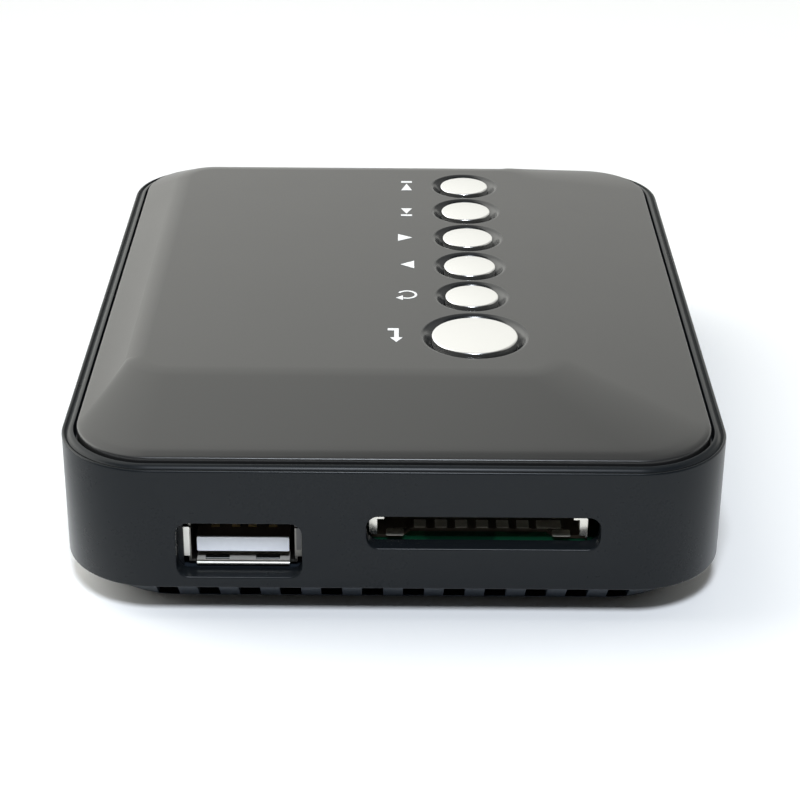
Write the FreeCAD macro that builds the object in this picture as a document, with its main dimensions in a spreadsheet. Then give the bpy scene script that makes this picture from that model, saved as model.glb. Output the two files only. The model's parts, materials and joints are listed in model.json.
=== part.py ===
import FreeCAD, Part
import os
import re
import math
import Sketcher
from FreeCAD import Vector, Rotation

# A small media player: a bevelled lid with six buttons, a side band with the sockets, a vented bottom,
# and the boards, sockets and parts inside.  Millimetres, +Z up, front towards -Y, the origin on the
# floor under the middle of the box.

os.makedirs("parts", exist_ok=True)
doc = FreeCAD.newDocument("media_player")
sheet = doc.addObject("Spreadsheet::Sheet", "Sizes")

# Driving dimensions: word, value, what it is.
SIZES = [
    ("case_width", 80.8, "side band, left to right"),
    ("case_depth", 101.3, "side band, front to back"),
    ("case_corner", 11.5, "side band, corner radius seen from above"),
    ("foot_height", 1.0, "rubber feet, below the floor of the bottom cover"),
    ("skirt_height", 3.4, "sloping skirt of the bottom cover"),
    ("band_height", 16.0, "side band"),
    ("band_wall", 2.4, "side band, wall"),
    ("rim_width", 1.45, "side band, rim round the lid"),
    ("rim_round", 0.5, "side band, outer top edge"),
    ("lid_gap", 0.4, "groove between rim and lid"),
    ("lid_border", 1.6, "lid, thickness at its border"),
    ("lid_rise", 3.0, "lid, flat top above the rim"),
    ("lid_edge_rise", 0.55, "lid, level border above the rim"),
    ("lid_wall", 1.8, "lid, wall under the flat top"),
    ("lid_lip", 1.5, "lid, lip that reaches into the band"),
    ("lip_wall", 1.2, "lips of lid and bottom cover, wall"),
    ("lip_gap", 0.15, "lips of lid and bottom cover, gap to the band"),
    ("flat_left", 7.5, "lid, from the band's left side to the flat top"),
    ("flat_right", 19.55, "lid, from the band's right side to the flat top"),
    ("flat_front", 20.7, "lid, from the band's front to the flat top"),
    ("flat_back", 7.3, "lid, from the band's back to the flat top"),
    ("flat_corner", 4.75, "lid, corner radius of the flat top"),
    ("skirt_top_inset", 0.5, "skirt, inside the band at its top"),
    ("skirt_inset", 3.9, "skirt, inside the band at its bottom"),
    ("skirt_corner", 10.2, "skirt, bottom corner radius"),
    ("floor_wall", 1.8, "bottom cover, floor and skirt"),
    ("bottom_lip", 1.5, "bottom cover, lip that reaches into the band"),
    ("vent_count", 12, "vents in the skirt, front and back each"),
    ("vent_pitch", 4.97, "vents"),
    ("vent_width", 2.6, "vents"),
    ("vent_lift", 0.3, "vents, above the cover's underside"),
    ("vent_top", 0.5, "vents, below the band"),
    ("foot_radius", 4.8, "rubber feet"),
    ("foot_recess", 0.5, "rubber feet, depth in the floor"),
    ("foot_slack", 0.1, "rubber feet, gap round them in their recess"),
    ("foot_bevel", 0.4, "rubber feet, bottom edge"),
    ("foot_from_side", 16.4, "rubber feet, inside the band's sides"),
    ("foot_from_end", 17.65, "rubber feet, inside the band's front and back"),
    ("post_from_side", 7.9, "case screws, inside the band's sides"),
    ("post_from_end", 12.7, "case screws, inside the band's front and back"),
    ("post_radius", 3.2, "case screw posts"),
    ("post_height", 5.2, "case screw posts of the bottom cover, above the floor"),
    ("screw_recess", 3.4, "case screws, depth of the head's seat"),
    ("screw_head", 2.3, "case screws, head radius"),
    ("screw_head_thick", 1.6, "case screws"),
    ("screw_shank", 1.25, "case screws, shank radius"),
    ("screw_length", 11.0, "case screws, shank"),
    ("screw_gap", 0.05, "any screw, gap round its shank in its pilot hole"),
    ("screw_clearance", 0.3, "any screw, gap round it where it passes through"),
    ("slot_width", 0.7, "any screw, cross slot"),
    ("slot_depth", 0.8, "any screw, cross slot"),
    ("slot_margin", 0.7, "any screw, cross slot's ends inside the head's edge"),
    ("board_thick", 1.6, "main board"),
    ("board_gap", 0.8, "main board, gap to the band"),
    ("board_notch_gap", 0.6, "main board, gap round the posts"),
    ("standoff_height", 5.5, "main board standoffs"),
    ("standoff_radius", 2.6, "main board standoffs"),
    ("board_screw_from_side", 8.0, "main board screws, inside the band's sides"),
    ("board_screw_from_end", 33.7, "main board screws, inside the band's front and back"),
    ("board_screw_shank", 1.0, "board screws, shank radius"),
    ("board_screw_head", 1.9, "board screws, head radius"),
    ("board_screw_head_thick", 1.3, "board screws"),
    ("board_screw_length", 5.6, "board screws, shank"),
    ("key_from_right", 30.03, "buttons' line, inside the band's right side"),
    ("enter_from_front", 31.62, "large button, behind the band's front"),
    ("enter_to_next", 12.67, "large button to the next"),
    ("last_from_back", 15.25, "last button, in front of the band's back"),
    ("small_cap", 3.6, "small button caps, radius"),
    ("large_cap", 5.6, "large button cap, radius"),
    ("cap_gap", 0.15, "button caps, gap round them in the lid"),
    ("cap_rise", 0.2, "button caps, above the flat top"),
    ("cap_bevel", 0.2, "button caps, top edge"),
    ("cap_bevel_width", 0.9, "button caps, top edge"),
    ("cap_wall", 0.9, "button caps, side"),
    ("cap_top", 1.3, "button caps, top"),
    ("cap_post", 1.3, "button caps, radius of the post inside"),
    ("cap_flange", 0.8, "button caps, flange under the lid"),
    ("cap_flange_width", 0.35, "button caps, flange under the lid"),
    ("cap_play", 0.2, "button caps, flange to lid"),
    ("cap_post_drop", 0.3, "button caps, post below the flange"),
    ("dish_width", 1.5, "dish round each button"),
    ("dish_depth", 0.75, "dish round each button"),
    ("dish_land", 0.15, "dish, ledge at the hole's edge"),
    ("switch_side", 6.0, "key switches, body"),
    ("switch_body", 2.5, "key switches, body height"),
    ("switch_height", 3.1, "key switches, plunger top above the key board"),
    ("switch_well_floor", 0.5, "key switches, floor under the plunger's well"),
    ("plunger_radius", 1.5, "key switches, plunger"),
    ("plunger_gap", 0.1, "key switches, gap round the plunger"),
    ("plunger_under", 0.5, "key switches, space under the plunger"),
    ("key_board_thick", 1.2, "key board"),
    ("key_board_width", 20.0, "key board"),
    ("key_board_front", 8.2, "key board, in front of the large button's middle"),
    ("key_board_behind", 6.2, "key board, behind the last button's middle"),
    ("key_boss_x", 7.6, "key board bosses, beside the buttons' line"),
    ("key_boss_radius", 2.0, "key board bosses"),
    ("key_screw_shank", 0.8, "key board screws, shank radius"),
    ("key_screw_head", 1.6, "key board screws, head radius"),
    ("key_screw_head_thick", 1.1, "key board screws"),
    ("key_screw_length", 4.4, "key board screws, shank"),
    ("link_pins_count", 6, "link between the boards"),
    ("link_pitch", 2.54, "link between the boards"),
    ("link_pin", 0.64, "link pins, side"),
    ("link_width", 2.5, "link header and socket"),
    ("link_header_height", 2.5, "link header"),
    ("link_header_gap", 0.1, "link header to socket"),
    ("link_pin_gap", 0.1, "link pins, gap round them in the socket"),
    ("link_pin_reach", 2.4, "link pins, length in the socket"),
    ("link_from_key", 8.3, "link, left of the buttons' line"),
    ("usb_x", -18.1, "USB socket"),
    ("usb_drop", 0.58, "USB socket, middle below the main board's top"),
    ("usb_opening_width", 12.5, "USB socket, inside the shell"),
    ("usb_opening_height", 5.12, "USB socket, inside the shell"),
    ("usb_sheet", 0.3, "USB socket, sheet"),
    ("usb_tab_gap", 0.1, "USB socket, front tabs to the band's wall"),
    ("usb_tab_reach", 0.93, "USB socket, flared front tabs"),
    ("usb_side_tab", 3.9, "USB socket, height of the side tabs"),
    ("usb_length", 13.5, "USB socket, shell"),
    ("usb_tongue_width", 11.1, "USB socket, tongue"),
    ("usb_tongue_thick", 1.84, "USB socket, tongue"),
    ("usb_tongue_drop", 2.09, "USB socket, tongue below the opening's top"),
    ("usb_tongue_recess", 0.4, "USB socket, tongue behind the shell's front"),
    ("usb_block", 4.0, "USB socket, plastic block at the back"),
    ("usb_inner_contact", 1.0, "USB socket, inner contacts from the middle"),
    ("usb_outer_contact", 3.5, "USB socket, outer contacts from the middle"),
    ("usb_contact_width", 1.0, "USB socket, contacts"),
    ("usb_contact_thick", 0.15, "USB socket, contacts"),
    ("usb_contact_length", 7.0, "USB socket, contacts"),
    ("usb_leg_width", 1.2, "USB socket, side legs on the board"),
    ("usb_leg_length", 3.0, "USB socket, side legs on the board"),
    ("usb_notch_gap", 0.3, "main board, gap round the USB socket"),
    ("usb_port_gap", 0.32, "USB port in the band, beside the tabs"),
    ("usb_port_shift", 0.3, "USB port in the band, left of the socket"),
    ("usb_port_under", 0.86, "USB port in the band, below the opening"),
    ("usb_port_over", 1.32, "USB port in the band, above the opening"),
    ("port_corner", 1.5, "USB and card ports, corner radius"),
    ("sd_x", 10.2, "card socket"),
    ("sd_slot_width", 24.2, "card socket, slot"),
    ("sd_rail", 0.75, "card socket, rails beside the slot"),
    ("sd_height", 2.9, "card socket"),
    ("sd_sheet", 0.25, "card socket, cover"),
    ("sd_front_gap", 0.3, "card socket, front to the band's wall"),
    ("sd_length", 28.0, "card socket"),
    ("sd_floor", 0.4, "card socket, floor"),
    ("sd_floor_step", 1.7, "card socket, floor behind its front"),
    ("sd_arm_out", 10.0, "card socket, front arms from the middle at their tips"),
    ("sd_arm_in", 8.2, "card socket, front arms from the middle at their roots"),
    ("sd_block", 3.0, "card socket, block at the back"),
    ("sd_contact_count", 9, "card socket"),
    ("sd_contact_first", 9.5, "card socket, first contact from the middle"),
    ("sd_contact_pitch", 2.5, "card socket"),
    ("sd_contact_last_pitch", 1.7, "card socket, last contact to the one before"),
    ("sd_contact_width", 1.6, "card socket"),
    ("sd_contact_thick", 0.15, "card socket"),
    ("sd_contact_back", 0.5, "card socket, contacts end before the block"),
    ("sd_port_gap", 0.8, "card port in the band, beside the socket"),
    ("sd_port_shift", 0.5, "card port in the band, right of the socket"),
    ("sd_port_lift", 0.1, "card port in the band, above the board"),
    ("sd_port_over", 1.5, "card port in the band, above the socket"),
    ("rear_setback", 0.6, "rear sockets, inside the band's back face"),
    ("rear_port_gap", 0.4, "rear ports, gap round each socket"),
    ("hdmi_x", 10.0, "HDMI socket"),
    ("hdmi_width", 14.0, "HDMI socket, opening"),
    ("hdmi_low_width", 11.6, "HDMI socket, opening at its bottom"),
    ("hdmi_upper", 2.6, "HDMI socket, full-width upper part of the opening"),
    ("hdmi_lower", 1.95, "HDMI socket, tapered lower part of the opening"),
    ("hdmi_sheet", 0.4, "HDMI socket, shell"),
    ("hdmi_length", 11.5, "HDMI socket"),
    ("hdmi_block", 3.0, "HDMI socket, plastic block at the back"),
    ("hdmi_tongue_width", 11.0, "HDMI socket, tongue"),
    ("hdmi_tongue_thick", 1.2, "HDMI socket, tongue"),
    ("hdmi_tongue_recess", 1.2, "HDMI socket, tongue behind the shell's mouth"),
    ("hdmi_contact_count", 10, "HDMI socket, contacts on each face of the tongue"),
    ("hdmi_contact_pitch", 1.0, "HDMI socket"),
    ("hdmi_contact_width", 0.45, "HDMI socket"),
    ("hdmi_contact_thick", 0.1, "HDMI socket"),
    ("av_x", -9.0, "AV jack"),
    ("av_bore", 1.8, "AV jack, bore radius"),
    ("av_bore_length", 13.0, "AV jack, bore"),
    ("av_nose", 3.0, "AV jack, nose radius"),
    ("av_width", 7.0, "AV jack, body"),
    ("av_length", 12.0, "AV jack, body"),
    ("av_height", 6.0, "AV jack, body"),
    ("dc_from_left", 17.4, "DC jack, inside the band's left side"),
    ("dc_bore", 2.15, "DC jack, bore radius"),
    ("dc_bore_length", 9.0, "DC jack, bore"),
    ("dc_nose", 3.3, "DC jack, nose radius"),
    ("dc_width", 7.6, "DC jack, body"),
    ("dc_length", 10.0, "DC jack, body"),
    ("dc_height", 7.0, "DC jack, body"),
    ("dc_pin", 0.825, "DC jack, centre pin radius"),
    ("dc_pin_recess", 0.8, "DC jack, centre pin behind the mouth"),
    ("jack_gap", 0.3, "jack bodies, gap to the band's wall"),
    ("terminal_width", 1.2, "jack terminals"),
    ("terminal_height", 1.6, "jack terminals"),
    ("terminal_thick", 0.4, "jack terminals"),
    ("terminal_inset", 1.2, "jack terminals, inside the body's two ends"),
    ("chip_from_left", 20.4, "processor, inside the band's left side"),
    ("chip_from_front", 45.0, "processor, behind the band's front"),
    ("chip_side", 14.0, "processor"),
    ("chip_height", 1.5, "processor"),
    ("pad_side", 13.0, "thermal pad"),
    ("pad_height", 0.5, "thermal pad"),
    ("sink_side", 18.0, "heat sink"),
    ("sink_base", 1.6, "heat sink"),
    ("sink_height", 6.0, "heat sink"),
    ("fin_count", 7, "heat sink"),
    ("fin_thick", 1.2, "heat sink"),
    ("memory_from_right", 9.9, "memory chips, inside the band's right side"),
    ("memory_from_front", 40.7, "first memory chip, behind the band's front"),
    ("memory_pitch", 9.5, "memory chips"),
    ("memory_width", 8.0, "memory chips"),
    ("memory_length", 12.5, "memory chips"),
    ("memory_height", 1.1, "memory chips"),
    ("flash_width", 5.3, "flash chip"),
    ("flash_length", 7.9, "flash chip"),
    ("flash_height", 1.9, "flash chip"),
    ("flash_gap", 1.5, "flash chip, to the left of the heat sink"),
    ("crystal_width", 11.0, "clock crystal"),
    ("crystal_length", 4.7, "clock crystal"),
    ("crystal_height", 3.5, "clock crystal"),
    ("crystal_gap", 4.5, "clock crystal, in front of the heat sink"),
    ("coil_gap", 7.3, "power inductors, behind the heat sink"),
    ("coil_side", 6.0, "power inductors"),
    ("coil_height", 3.2, "power inductors"),
    ("coil_pitch", 9.0, "power inductors"),
    ("can_count", 3, "electrolytic capacitors"),
    ("can_radius", 3.15, "electrolytic capacitors"),
    ("can_height", 5.4, "electrolytic capacitors, can"),
    ("can_base", 1.0, "electrolytic capacitors, plastic base"),
    ("can_pitch", 8.0, "electrolytic capacitors"),
    ("can_from_right", 14.6, "electrolytic capacitors, inside the band's right side"),
    ("can_gap", 1.5, "electrolytic capacitors, behind the memory chips"),
    ("regulator_side", 4.0, "regulator chip"),
    ("regulator_height", 1.5, "regulator chip"),
    ("regulator_gap", 1.5, "regulator chip, behind the inductors"),
    ("receiver_gap", 0.4, "infrared receiver, beside the USB socket's leg"),
    ("receiver_width", 5.4, "infrared receiver"),
    ("receiver_depth", 3.4, "infrared receiver"),
    ("receiver_height", 6.4, "infrared receiver"),
    ("receiver_lens", 1.9, "infrared receiver, lens radius"),
    ("receiver_lens_z", 3.6, "infrared receiver, lens above the board"),
    ("small_part_count", 12, "ceramic capacitors, in two rows"),
    ("small_part_length", 1.6, "ceramic capacitors"),
    ("small_part_width", 0.8, "ceramic capacitors"),
    ("small_part_pitch", 3.0, "ceramic capacitors, along a row"),
    ("small_part_row", 2.2, "ceramic capacitors, row to row"),
    ("small_part_gap", 2.1, "ceramic capacitors, behind the heat sink"),
    ("past", 1.0, "length that a cutter runs past what it cuts"),
]

# Places and sizes that follow from the driving ones.
DERIVED = {
    "front": "-case_depth / 2",
    "back": "case_depth / 2",
    "band_bottom": "foot_height + skirt_height",
    "rim": "band_bottom + band_height",
    "ledge": "rim - lid_border",
    "flat_top": "rim + lid_rise",
    "lid_inset": "rim_width + lid_gap",
    "lid_under": "flat_top - lid_wall",
    "lip_inset": "band_wall + lip_gap",
    "hollow_inset": "lip_inset + lip_wall",
    "floor_top": "foot_height + floor_wall",
    "foot_x": "case_width / 2 - foot_from_side",
    "foot_y": "case_depth / 2 - foot_from_end",
    "post_x": "case_width / 2 - post_from_side",
    "post_y": "case_depth / 2 - post_from_end",
    "post_top": "floor_top + post_height",
    "screw_seat": "foot_height + screw_recess",
    "board_bottom": "floor_top + standoff_height",
    "board_top": "board_bottom + board_thick",
    "board_side": "case_width / 2 - band_wall - board_gap",
    "board_front": "front + band_wall + board_gap",
    "board_back": "back - band_wall - board_gap",
    "board_screw_x": "case_width / 2 - board_screw_from_side",
    "board_screw_y": "case_depth / 2 - board_screw_from_end",
    "enter_y": "front + enter_from_front",
    "return_y": "enter_y + enter_to_next",
    "last_y": "back - last_from_back",
    "key_pitch": "(last_y - return_y) / 4",
    "key_x": "case_width / 2 - key_from_right",
    "flange_top": "lid_under - cap_play",
    "flange_bottom": "flange_top - cap_flange",
    "cap_foot": "flange_bottom - cap_post_drop",
    "cap_face": "flat_top + cap_rise",
    "key_board_top": "cap_foot - switch_height",
    "key_board_bottom": "key_board_top - key_board_thick",
    "key_board_near": "enter_y - key_board_front",
    "key_board_length": "last_y + key_board_behind - key_board_near",
    "well_floor": "key_board_top + switch_well_floor",
    "plunger_foot": "well_floor + plunger_under",
    "link_x": "key_x - link_from_key",
    "link_y": "return_y + 2 * key_pitch",
    "link_length": "link_pins_count * link_pitch",
    "link_socket_top": "key_board_bottom - link_header_height - link_header_gap",
    "usb_tab_front": "front + band_wall + usb_tab_gap",
    "usb_front": "usb_tab_front + usb_sheet",
    "usb_z": "board_top - usb_drop",
    "usb_floor": "usb_z - usb_opening_height / 2",
    "usb_outer_width": "usb_opening_width + 2 * usb_sheet",
    "usb_outer_height": "usb_opening_height + 2 * usb_sheet",
    "usb_tongue_top": "usb_floor + usb_opening_height - usb_tongue_drop",
    "usb_tongue_front": "usb_front + usb_tongue_recess",
    "usb_back": "usb_front + usb_length",
    "usb_ceiling": "usb_floor + usb_opening_height",
    "sd_front": "front + band_wall + sd_front_gap",
    "sd_floor_top": "board_top + sd_floor",
    "sd_outer_width": "sd_slot_width + 2 * sd_rail + 2 * sd_sheet",
    "rear_face": "back - rear_setback",
    "hdmi_floor": "board_top + hdmi_sheet",
    "hdmi_height": "hdmi_upper + hdmi_lower",
    "hdmi_tongue_z": "hdmi_floor + hdmi_height / 2",
    "hdmi_inner_length": "hdmi_length - hdmi_block",
    "jack_back": "back - band_wall - jack_gap",
    "av_z": "board_top + av_height / 2",
    "dc_z": "board_top + dc_height / 2",
    "dc_x": "-case_width / 2 + dc_from_left",
    "chip_x": "-case_width / 2 + chip_from_left",
    "chip_y": "front + chip_from_front",
    "sink_back": "chip_y + sink_side / 2",
    "sink_bottom": "board_top + chip_height + pad_height",
    "coil_y": "sink_back + coil_gap + coil_side / 2",
    "memory_x": "case_width / 2 - memory_from_right",
    "memory_y": "front + memory_from_front",
    "can_x": "case_width / 2 - can_from_right",
    "can_y": "memory_y + memory_pitch + memory_width / 2 + can_gap + can_radius",
    "receiver_x": "usb_x + usb_outer_width / 2 + usb_leg_width + receiver_gap + receiver_width / 2",
}

WORD = re.compile(r"[a-z][a-z_0-9]*")

# Two places closer than this are one place.
SAME_PLACE = 1e-3


def formula(text):
    """Write a formula of the words above as an expression on the sheet."""
    def opened(match):
        word = match.group(0)
        if word in DERIVED:
            return "(" + formula(DERIVED[word]) + ")"
        return "Sizes." + word
    return WORD.sub(opened, str(text))


def fill_sheet():
    """Put each driving dimension in the sheet, with its word as the cell's alias."""
    for row, (word, value, meaning) in enumerate(SIZES, start=1):
        sheet.set(f"A{row}", word)
        sheet.set(f"B{row}", str(value))
        sheet.set(f"C{row}", meaning)
        sheet.setAlias(f"B{row}", word)
    doc.recompute()


def count(word):
    return int(sheet.get(word))


# ---- Solids from formulas ----

def place(piece, at):
    for axis, text in zip("xyz", at):
        piece.setExpression("Placement.Base." + axis, formula(text))
    return piece


def box(name, low, size):
    """A box from its lowest corner."""
    piece = doc.addObject("Part::Box", name)
    for side, text in zip(("Length", "Width", "Height"), size):
        piece.setExpression(side, formula(text))
    return place(piece, low)


def block(name, x, y, bottom, width, depth, height):
    """A box whose middle is at x, y and whose underside is at bottom."""
    low = (f"{x} - ({width}) / 2", f"{y} - ({depth}) / 2", bottom)
    return box(name, low, (width, depth, height))


def cylinder(name, x, y, bottom, radius, height):
    piece = doc.addObject("Part::Cylinder", name)
    piece.setExpression("Radius", formula(radius))
    piece.setExpression("Height", formula(height))
    return place(piece, (x, y, bottom))


def rod(name, x, near, z, radius, length):
    """A cylinder that lies front to back, from near towards the back."""
    piece = cylinder(name, x, near, z, radius, length)
    piece.Placement.Rotation = Rotation(Vector(1, 0, 0), -90)
    return place(piece, (x, near, z))


def cone(name, x, y, bottom, low_radius, high_radius, height):
    piece = doc.addObject("Part::Cone", name)
    piece.setExpression("Radius1", formula(low_radius))
    piece.setExpression("Radius2", formula(high_radius))
    piece.setExpression("Height", formula(height))
    return place(piece, (x, y, bottom))


def wedge(name, low_width, high_width, reach, depth):
    """A bar whose width changes along its own Y axis, over reach; depth is along its own Z axis."""
    piece = doc.addObject("Part::Wedge", name)
    bounds = {
        "Xmin": f"-({low_width}) / 2",
        "Xmax": f"({low_width}) / 2",
        "X2min": f"-({high_width}) / 2",
        "X2max": f"({high_width}) / 2",
        "Ymin": "0",
        "Ymax": reach,
        "Zmin": "0",
        "Zmax": depth,
        "Z2min": "0",
        "Z2max": depth,
    }
    for bound, text in bounds.items():
        piece.setExpression(bound, formula(text))
    return piece


def taper(name, x, back_y, bottom, low_width, high_width, height, length):
    """A bar that lies front to back, ending at back_y, wider or narrower at its top."""
    piece = wedge(name, low_width, high_width, height, length)
    piece.Placement.Rotation = Rotation(Vector(1, 0, 0), 90)
    return place(piece, (x, back_y, bottom))


def taper_plan(name, x, near, bottom, near_width, far_width, length, height):
    """A flat wedge seen from above: near_width at its front, far_width at its back."""
    return place(wedge(name, near_width, far_width, length, height), (x, near, bottom))


def fuse(name, pieces):
    piece = doc.addObject("Part::MultiFuse", name)
    piece.Shapes = pieces
    piece.Refine = True
    return piece


def cut(name, base, tools):
    piece = doc.addObject("Part::Cut", name)
    piece.Base = base
    piece.Tool = tools[0] if len(tools) == 1 else fuse(name + "_tools", tools)
    piece.Refine = True
    return piece


def group(name, pieces):
    piece = doc.addObject("Part::Compound", name)
    piece.Links = pieces
    return piece


# ---- Bodies from sketches ----

def new_body(name):
    return doc.addObject("PartDesign::Body", name)


def sketch_on(body, name, role, offset):
    """A sketch parallel to one of the body's own planes, offset along that plane's normal."""
    sketch = body.newObject("Sketcher::SketchObject", name)
    plane = next(feature for feature in body.Origin.OriginFeatures if feature.Role == role)
    sketch.AttachmentSupport = (plane, "")
    sketch.MapMode = "FlatFace"
    sketch.setExpression("AttachmentOffset.Base.z", formula(offset))
    return sketch


def bind(sketch, kind, geometry, start, text):
    """Add a dimension and tie it to a formula."""
    index = sketch.addConstraint(Sketcher.Constraint(kind, *geometry, start))
    sketch.setExpression(f"Constraints[{index}]", formula(text))


def rounded(sketch, left, right, near, far, corner):
    """Draw a rounded rectangle with its four sides and corner radius tied to formulas."""
    half, radius = 10.0, 1.0
    flat = half - radius
    sides = [((-flat, -half), (flat, -half)), ((half, -flat), (half, flat)),
             ((flat, half), (-flat, half)), ((-half, flat), (-half, -flat))]
    for (x1, y1), (x2, y2) in sides:
        sketch.addGeometry(Part.LineSegment(Vector(x1, y1, 0), Vector(x2, y2, 0)), False)
    for index, (x, y) in enumerate([(flat, -flat), (flat, flat), (-flat, flat), (-flat, -flat)]):
        circle = Part.Circle(Vector(x, y, 0), Vector(0, 0, 1), radius)
        start = math.radians(90 * index - 90)
        sketch.addGeometry(Part.ArcOfCircle(circle, start, start + math.pi / 2), False)
    for index in range(4):
        sketch.addConstraint(Sketcher.Constraint("Tangent", index, 2, 4 + index, 1))
        sketch.addConstraint(Sketcher.Constraint("Tangent", 4 + index, 2, (index + 1) % 4, 1))
        direction = "Horizontal" if index % 2 == 0 else "Vertical"
        sketch.addConstraint(Sketcher.Constraint(direction, index))
    for index in (5, 6, 7):
        sketch.addConstraint(Sketcher.Constraint("Equal", 4, index))
    bind(sketch, "Radius", (4,), radius, corner)
    bind(sketch, "DistanceY", (-1, 1, 0, 1), -half, near)
    bind(sketch, "DistanceY", (-1, 1, 2, 1), half, far)
    bind(sketch, "DistanceX", (-1, 1, 3, 1), -half, left)
    bind(sketch, "DistanceX", (-1, 1, 1, 1), half, right)
    return sketch


def outline(body, name, height, inset, corner=None):
    """The case's outline seen from above, drawn in by inset, at a height."""
    sketch = sketch_on(body, name, "XY_Plane", height)
    corner = corner or f"case_corner - ({inset})"
    left = f"-case_width / 2 + ({inset})"
    right = f"case_width / 2 - ({inset})"
    return rounded(sketch, left, right, f"front + ({inset})", f"back - ({inset})", corner)


def feature(body, kind, name, sketch, length=None, flipped=False):
    """A pad or pocket of one sketch."""
    made = body.newObject("PartDesign::" + kind, name)
    made.Profile = sketch
    made.Reversed = flipped
    made.setExpression("Length", formula(length))
    return made


def loft(body, kind, name, low, high):
    """Straight-sided loft between two sketches."""
    made = body.newObject("PartDesign::" + kind, name)
    made.Profile = low
    made.Sections = [high]
    made.Ruled = True
    return made


def front_port(body, name, middle, half_width, low, high):
    """A rounded opening through the band's front wall."""
    sketch = sketch_on(body, name + "_sketch", "XZ_Plane", "case_depth / 2 + past")
    rounded(sketch, f"{middle} - ({half_width})", f"{middle} + {half_width}", low, high, "port_corner")
    feature(body, "Pocket", name, sketch, "band_wall + 2 * past")


# ---- Repeated details ----

def each_corner(x, y):
    """The four places at plus and minus x and y, with a name for each."""
    return [("front_left", f"-({x})", f"-({y})"), ("front_right", x, f"-({y})"),
            ("back_left", f"-({x})", y), ("back_right", x, y)]


def screw(name, x, y, seat, head, head_thick, shank, length, up):
    """A cross-slotted screw; up tells whether its shank points up from its head."""
    if up:
        head_bottom, shank_bottom = f"{seat} - {head_thick}", seat
        slot_bottom = f"{head_bottom} - past"
    else:
        head_bottom, shank_bottom = seat, f"{seat} - {length}"
        slot_bottom = f"{seat} + {head_thick} - slot_depth"
    cap = cylinder(name + "_head", x, y, head_bottom, head, head_thick)
    stem = cylinder(name + "_shank", x, y, shank_bottom, shank, length)
    arm = f"2 * ({head} - slot_margin)"
    slots = [block(name + "_slot_a", x, y, slot_bottom, arm, "slot_width", "slot_depth + past"),
             block(name + "_slot_b", x, y, slot_bottom, "slot_width", arm, "slot_depth + past")]
    return cut(name, fuse(name + "_blank", [cap, stem]), slots)


KEYS = ["enter", "return", "up", "down", "left", "right"]


def key_y(index):
    """Each button's place, from the large one at the front to the last at the back."""
    return "enter_y" if index == 0 else f"return_y + {index - 1} * key_pitch"


def key_radius(index):
    return "large_cap" if index == 0 else "small_cap"


KEY_BOSSES = [(x, y) for y in ("return_y + key_pitch / 2", "last_y - key_pitch / 2")
              for x in ("key_x - key_boss_x", "key_x + key_boss_x")]


# ---- Case ----

def outer_edges(shape, height):
    """Names of the edges round the outside of a shape at a height."""
    names = []
    inside = shape.BoundBox
    inside.enlarge(-SAME_PLACE)
    for index, edge in enumerate(shape.Edges, start=1):
        spread = edge.BoundBox
        level = spread.ZLength < SAME_PLACE and abs(spread.ZMin - height) < SAME_PLACE
        outside = (spread.XMax > inside.XMax or spread.XMin < inside.XMin
                   or spread.YMax > inside.YMax or spread.YMin < inside.YMin)
        if level and outside:
            names.append(f"Edge{index}")
    return names


def side_band():
    """The wall all round, with its rim, the ledge that carries the lid, and the ports."""
    body = new_body("band_body")
    feature(body, "Pad", "band_block", outline(body, "band_outline", "band_bottom", "0"), "band_height")
    feature(body, "Pocket", "band_hollow", outline(body, "band_inside", "rim", "band_wall"),
            "band_height")
    feature(body, "Pocket", "band_seat", outline(body, "band_seat_line", "rim", "rim_width"),
            "lid_border")
    front_port(body, "usb_port", "usb_x - usb_port_shift",
               "usb_opening_width / 2 + usb_tab_reach + usb_port_gap",
               "usb_floor - usb_port_under", "usb_ceiling + usb_port_over")
    front_port(body, "sd_port", "sd_x + sd_port_shift", "sd_outer_width / 2 + sd_port_gap",
               "board_top + sd_port_lift", "board_top + sd_height + sd_port_over")
    doc.recompute()
    ported = body.Tip
    rounding = body.newObject("PartDesign::Fillet", "band_rim_round")
    rounding.Base = (ported, outer_edges(ported.Shape, value("rim")))
    rounding.setExpression("Radius", formula("rim_round"))
    wall_near = "back - band_wall - past"
    wall_cut = "band_wall + 2 * past"
    tools = [
        block("hdmi_port", "hdmi_x", "back - band_wall / 2", "board_top - rear_port_gap",
              "hdmi_width + 2 * hdmi_sheet + 2 * rear_port_gap", wall_cut,
              "hdmi_height + 2 * hdmi_sheet + 2 * rear_port_gap"),
        rod("av_port", "av_x", wall_near, "av_z", "av_nose + rear_port_gap", wall_cut),
        rod("dc_port", "dc_x", wall_near, "dc_z", "dc_nose + rear_port_gap", wall_cut),
    ]
    return cut("side_band", body, tools)


def flat_outline(body, name, height):
    """The outline of the lid's flat top, at a height."""
    sketch = sketch_on(body, name, "XY_Plane", height)
    return rounded(sketch, "-case_width / 2 + flat_left", "case_width / 2 - flat_right",
                   "front + flat_front", "back - flat_back", "flat_corner")


def lid_block():
    """The lid's outside as one solid: a level border, and bevels up to the flat top."""
    body = new_body("lid_block")
    feature(body, "Pad", "lid_edge", outline(body, "lid_outline", "ledge", "lid_inset"),
            "lid_border + lid_edge_rise")
    loft(body, "AdditiveLoft", "lid_bevel",
         outline(body, "lid_border_line", "rim + lid_edge_rise", "lid_inset"),
         flat_outline(body, "lid_flat_line", "flat_top"))
    return body


def lid_hollow():
    """The space under the lid, between its wall and its lip."""
    body = new_body("lid_hollow")
    loft(body, "AdditiveLoft", "lid_hollow_bevel",
         outline(body, "lid_hollow_line", "ledge", "hollow_inset"),
         flat_outline(body, "lid_hollow_flat", "lid_under"))
    return body


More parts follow.
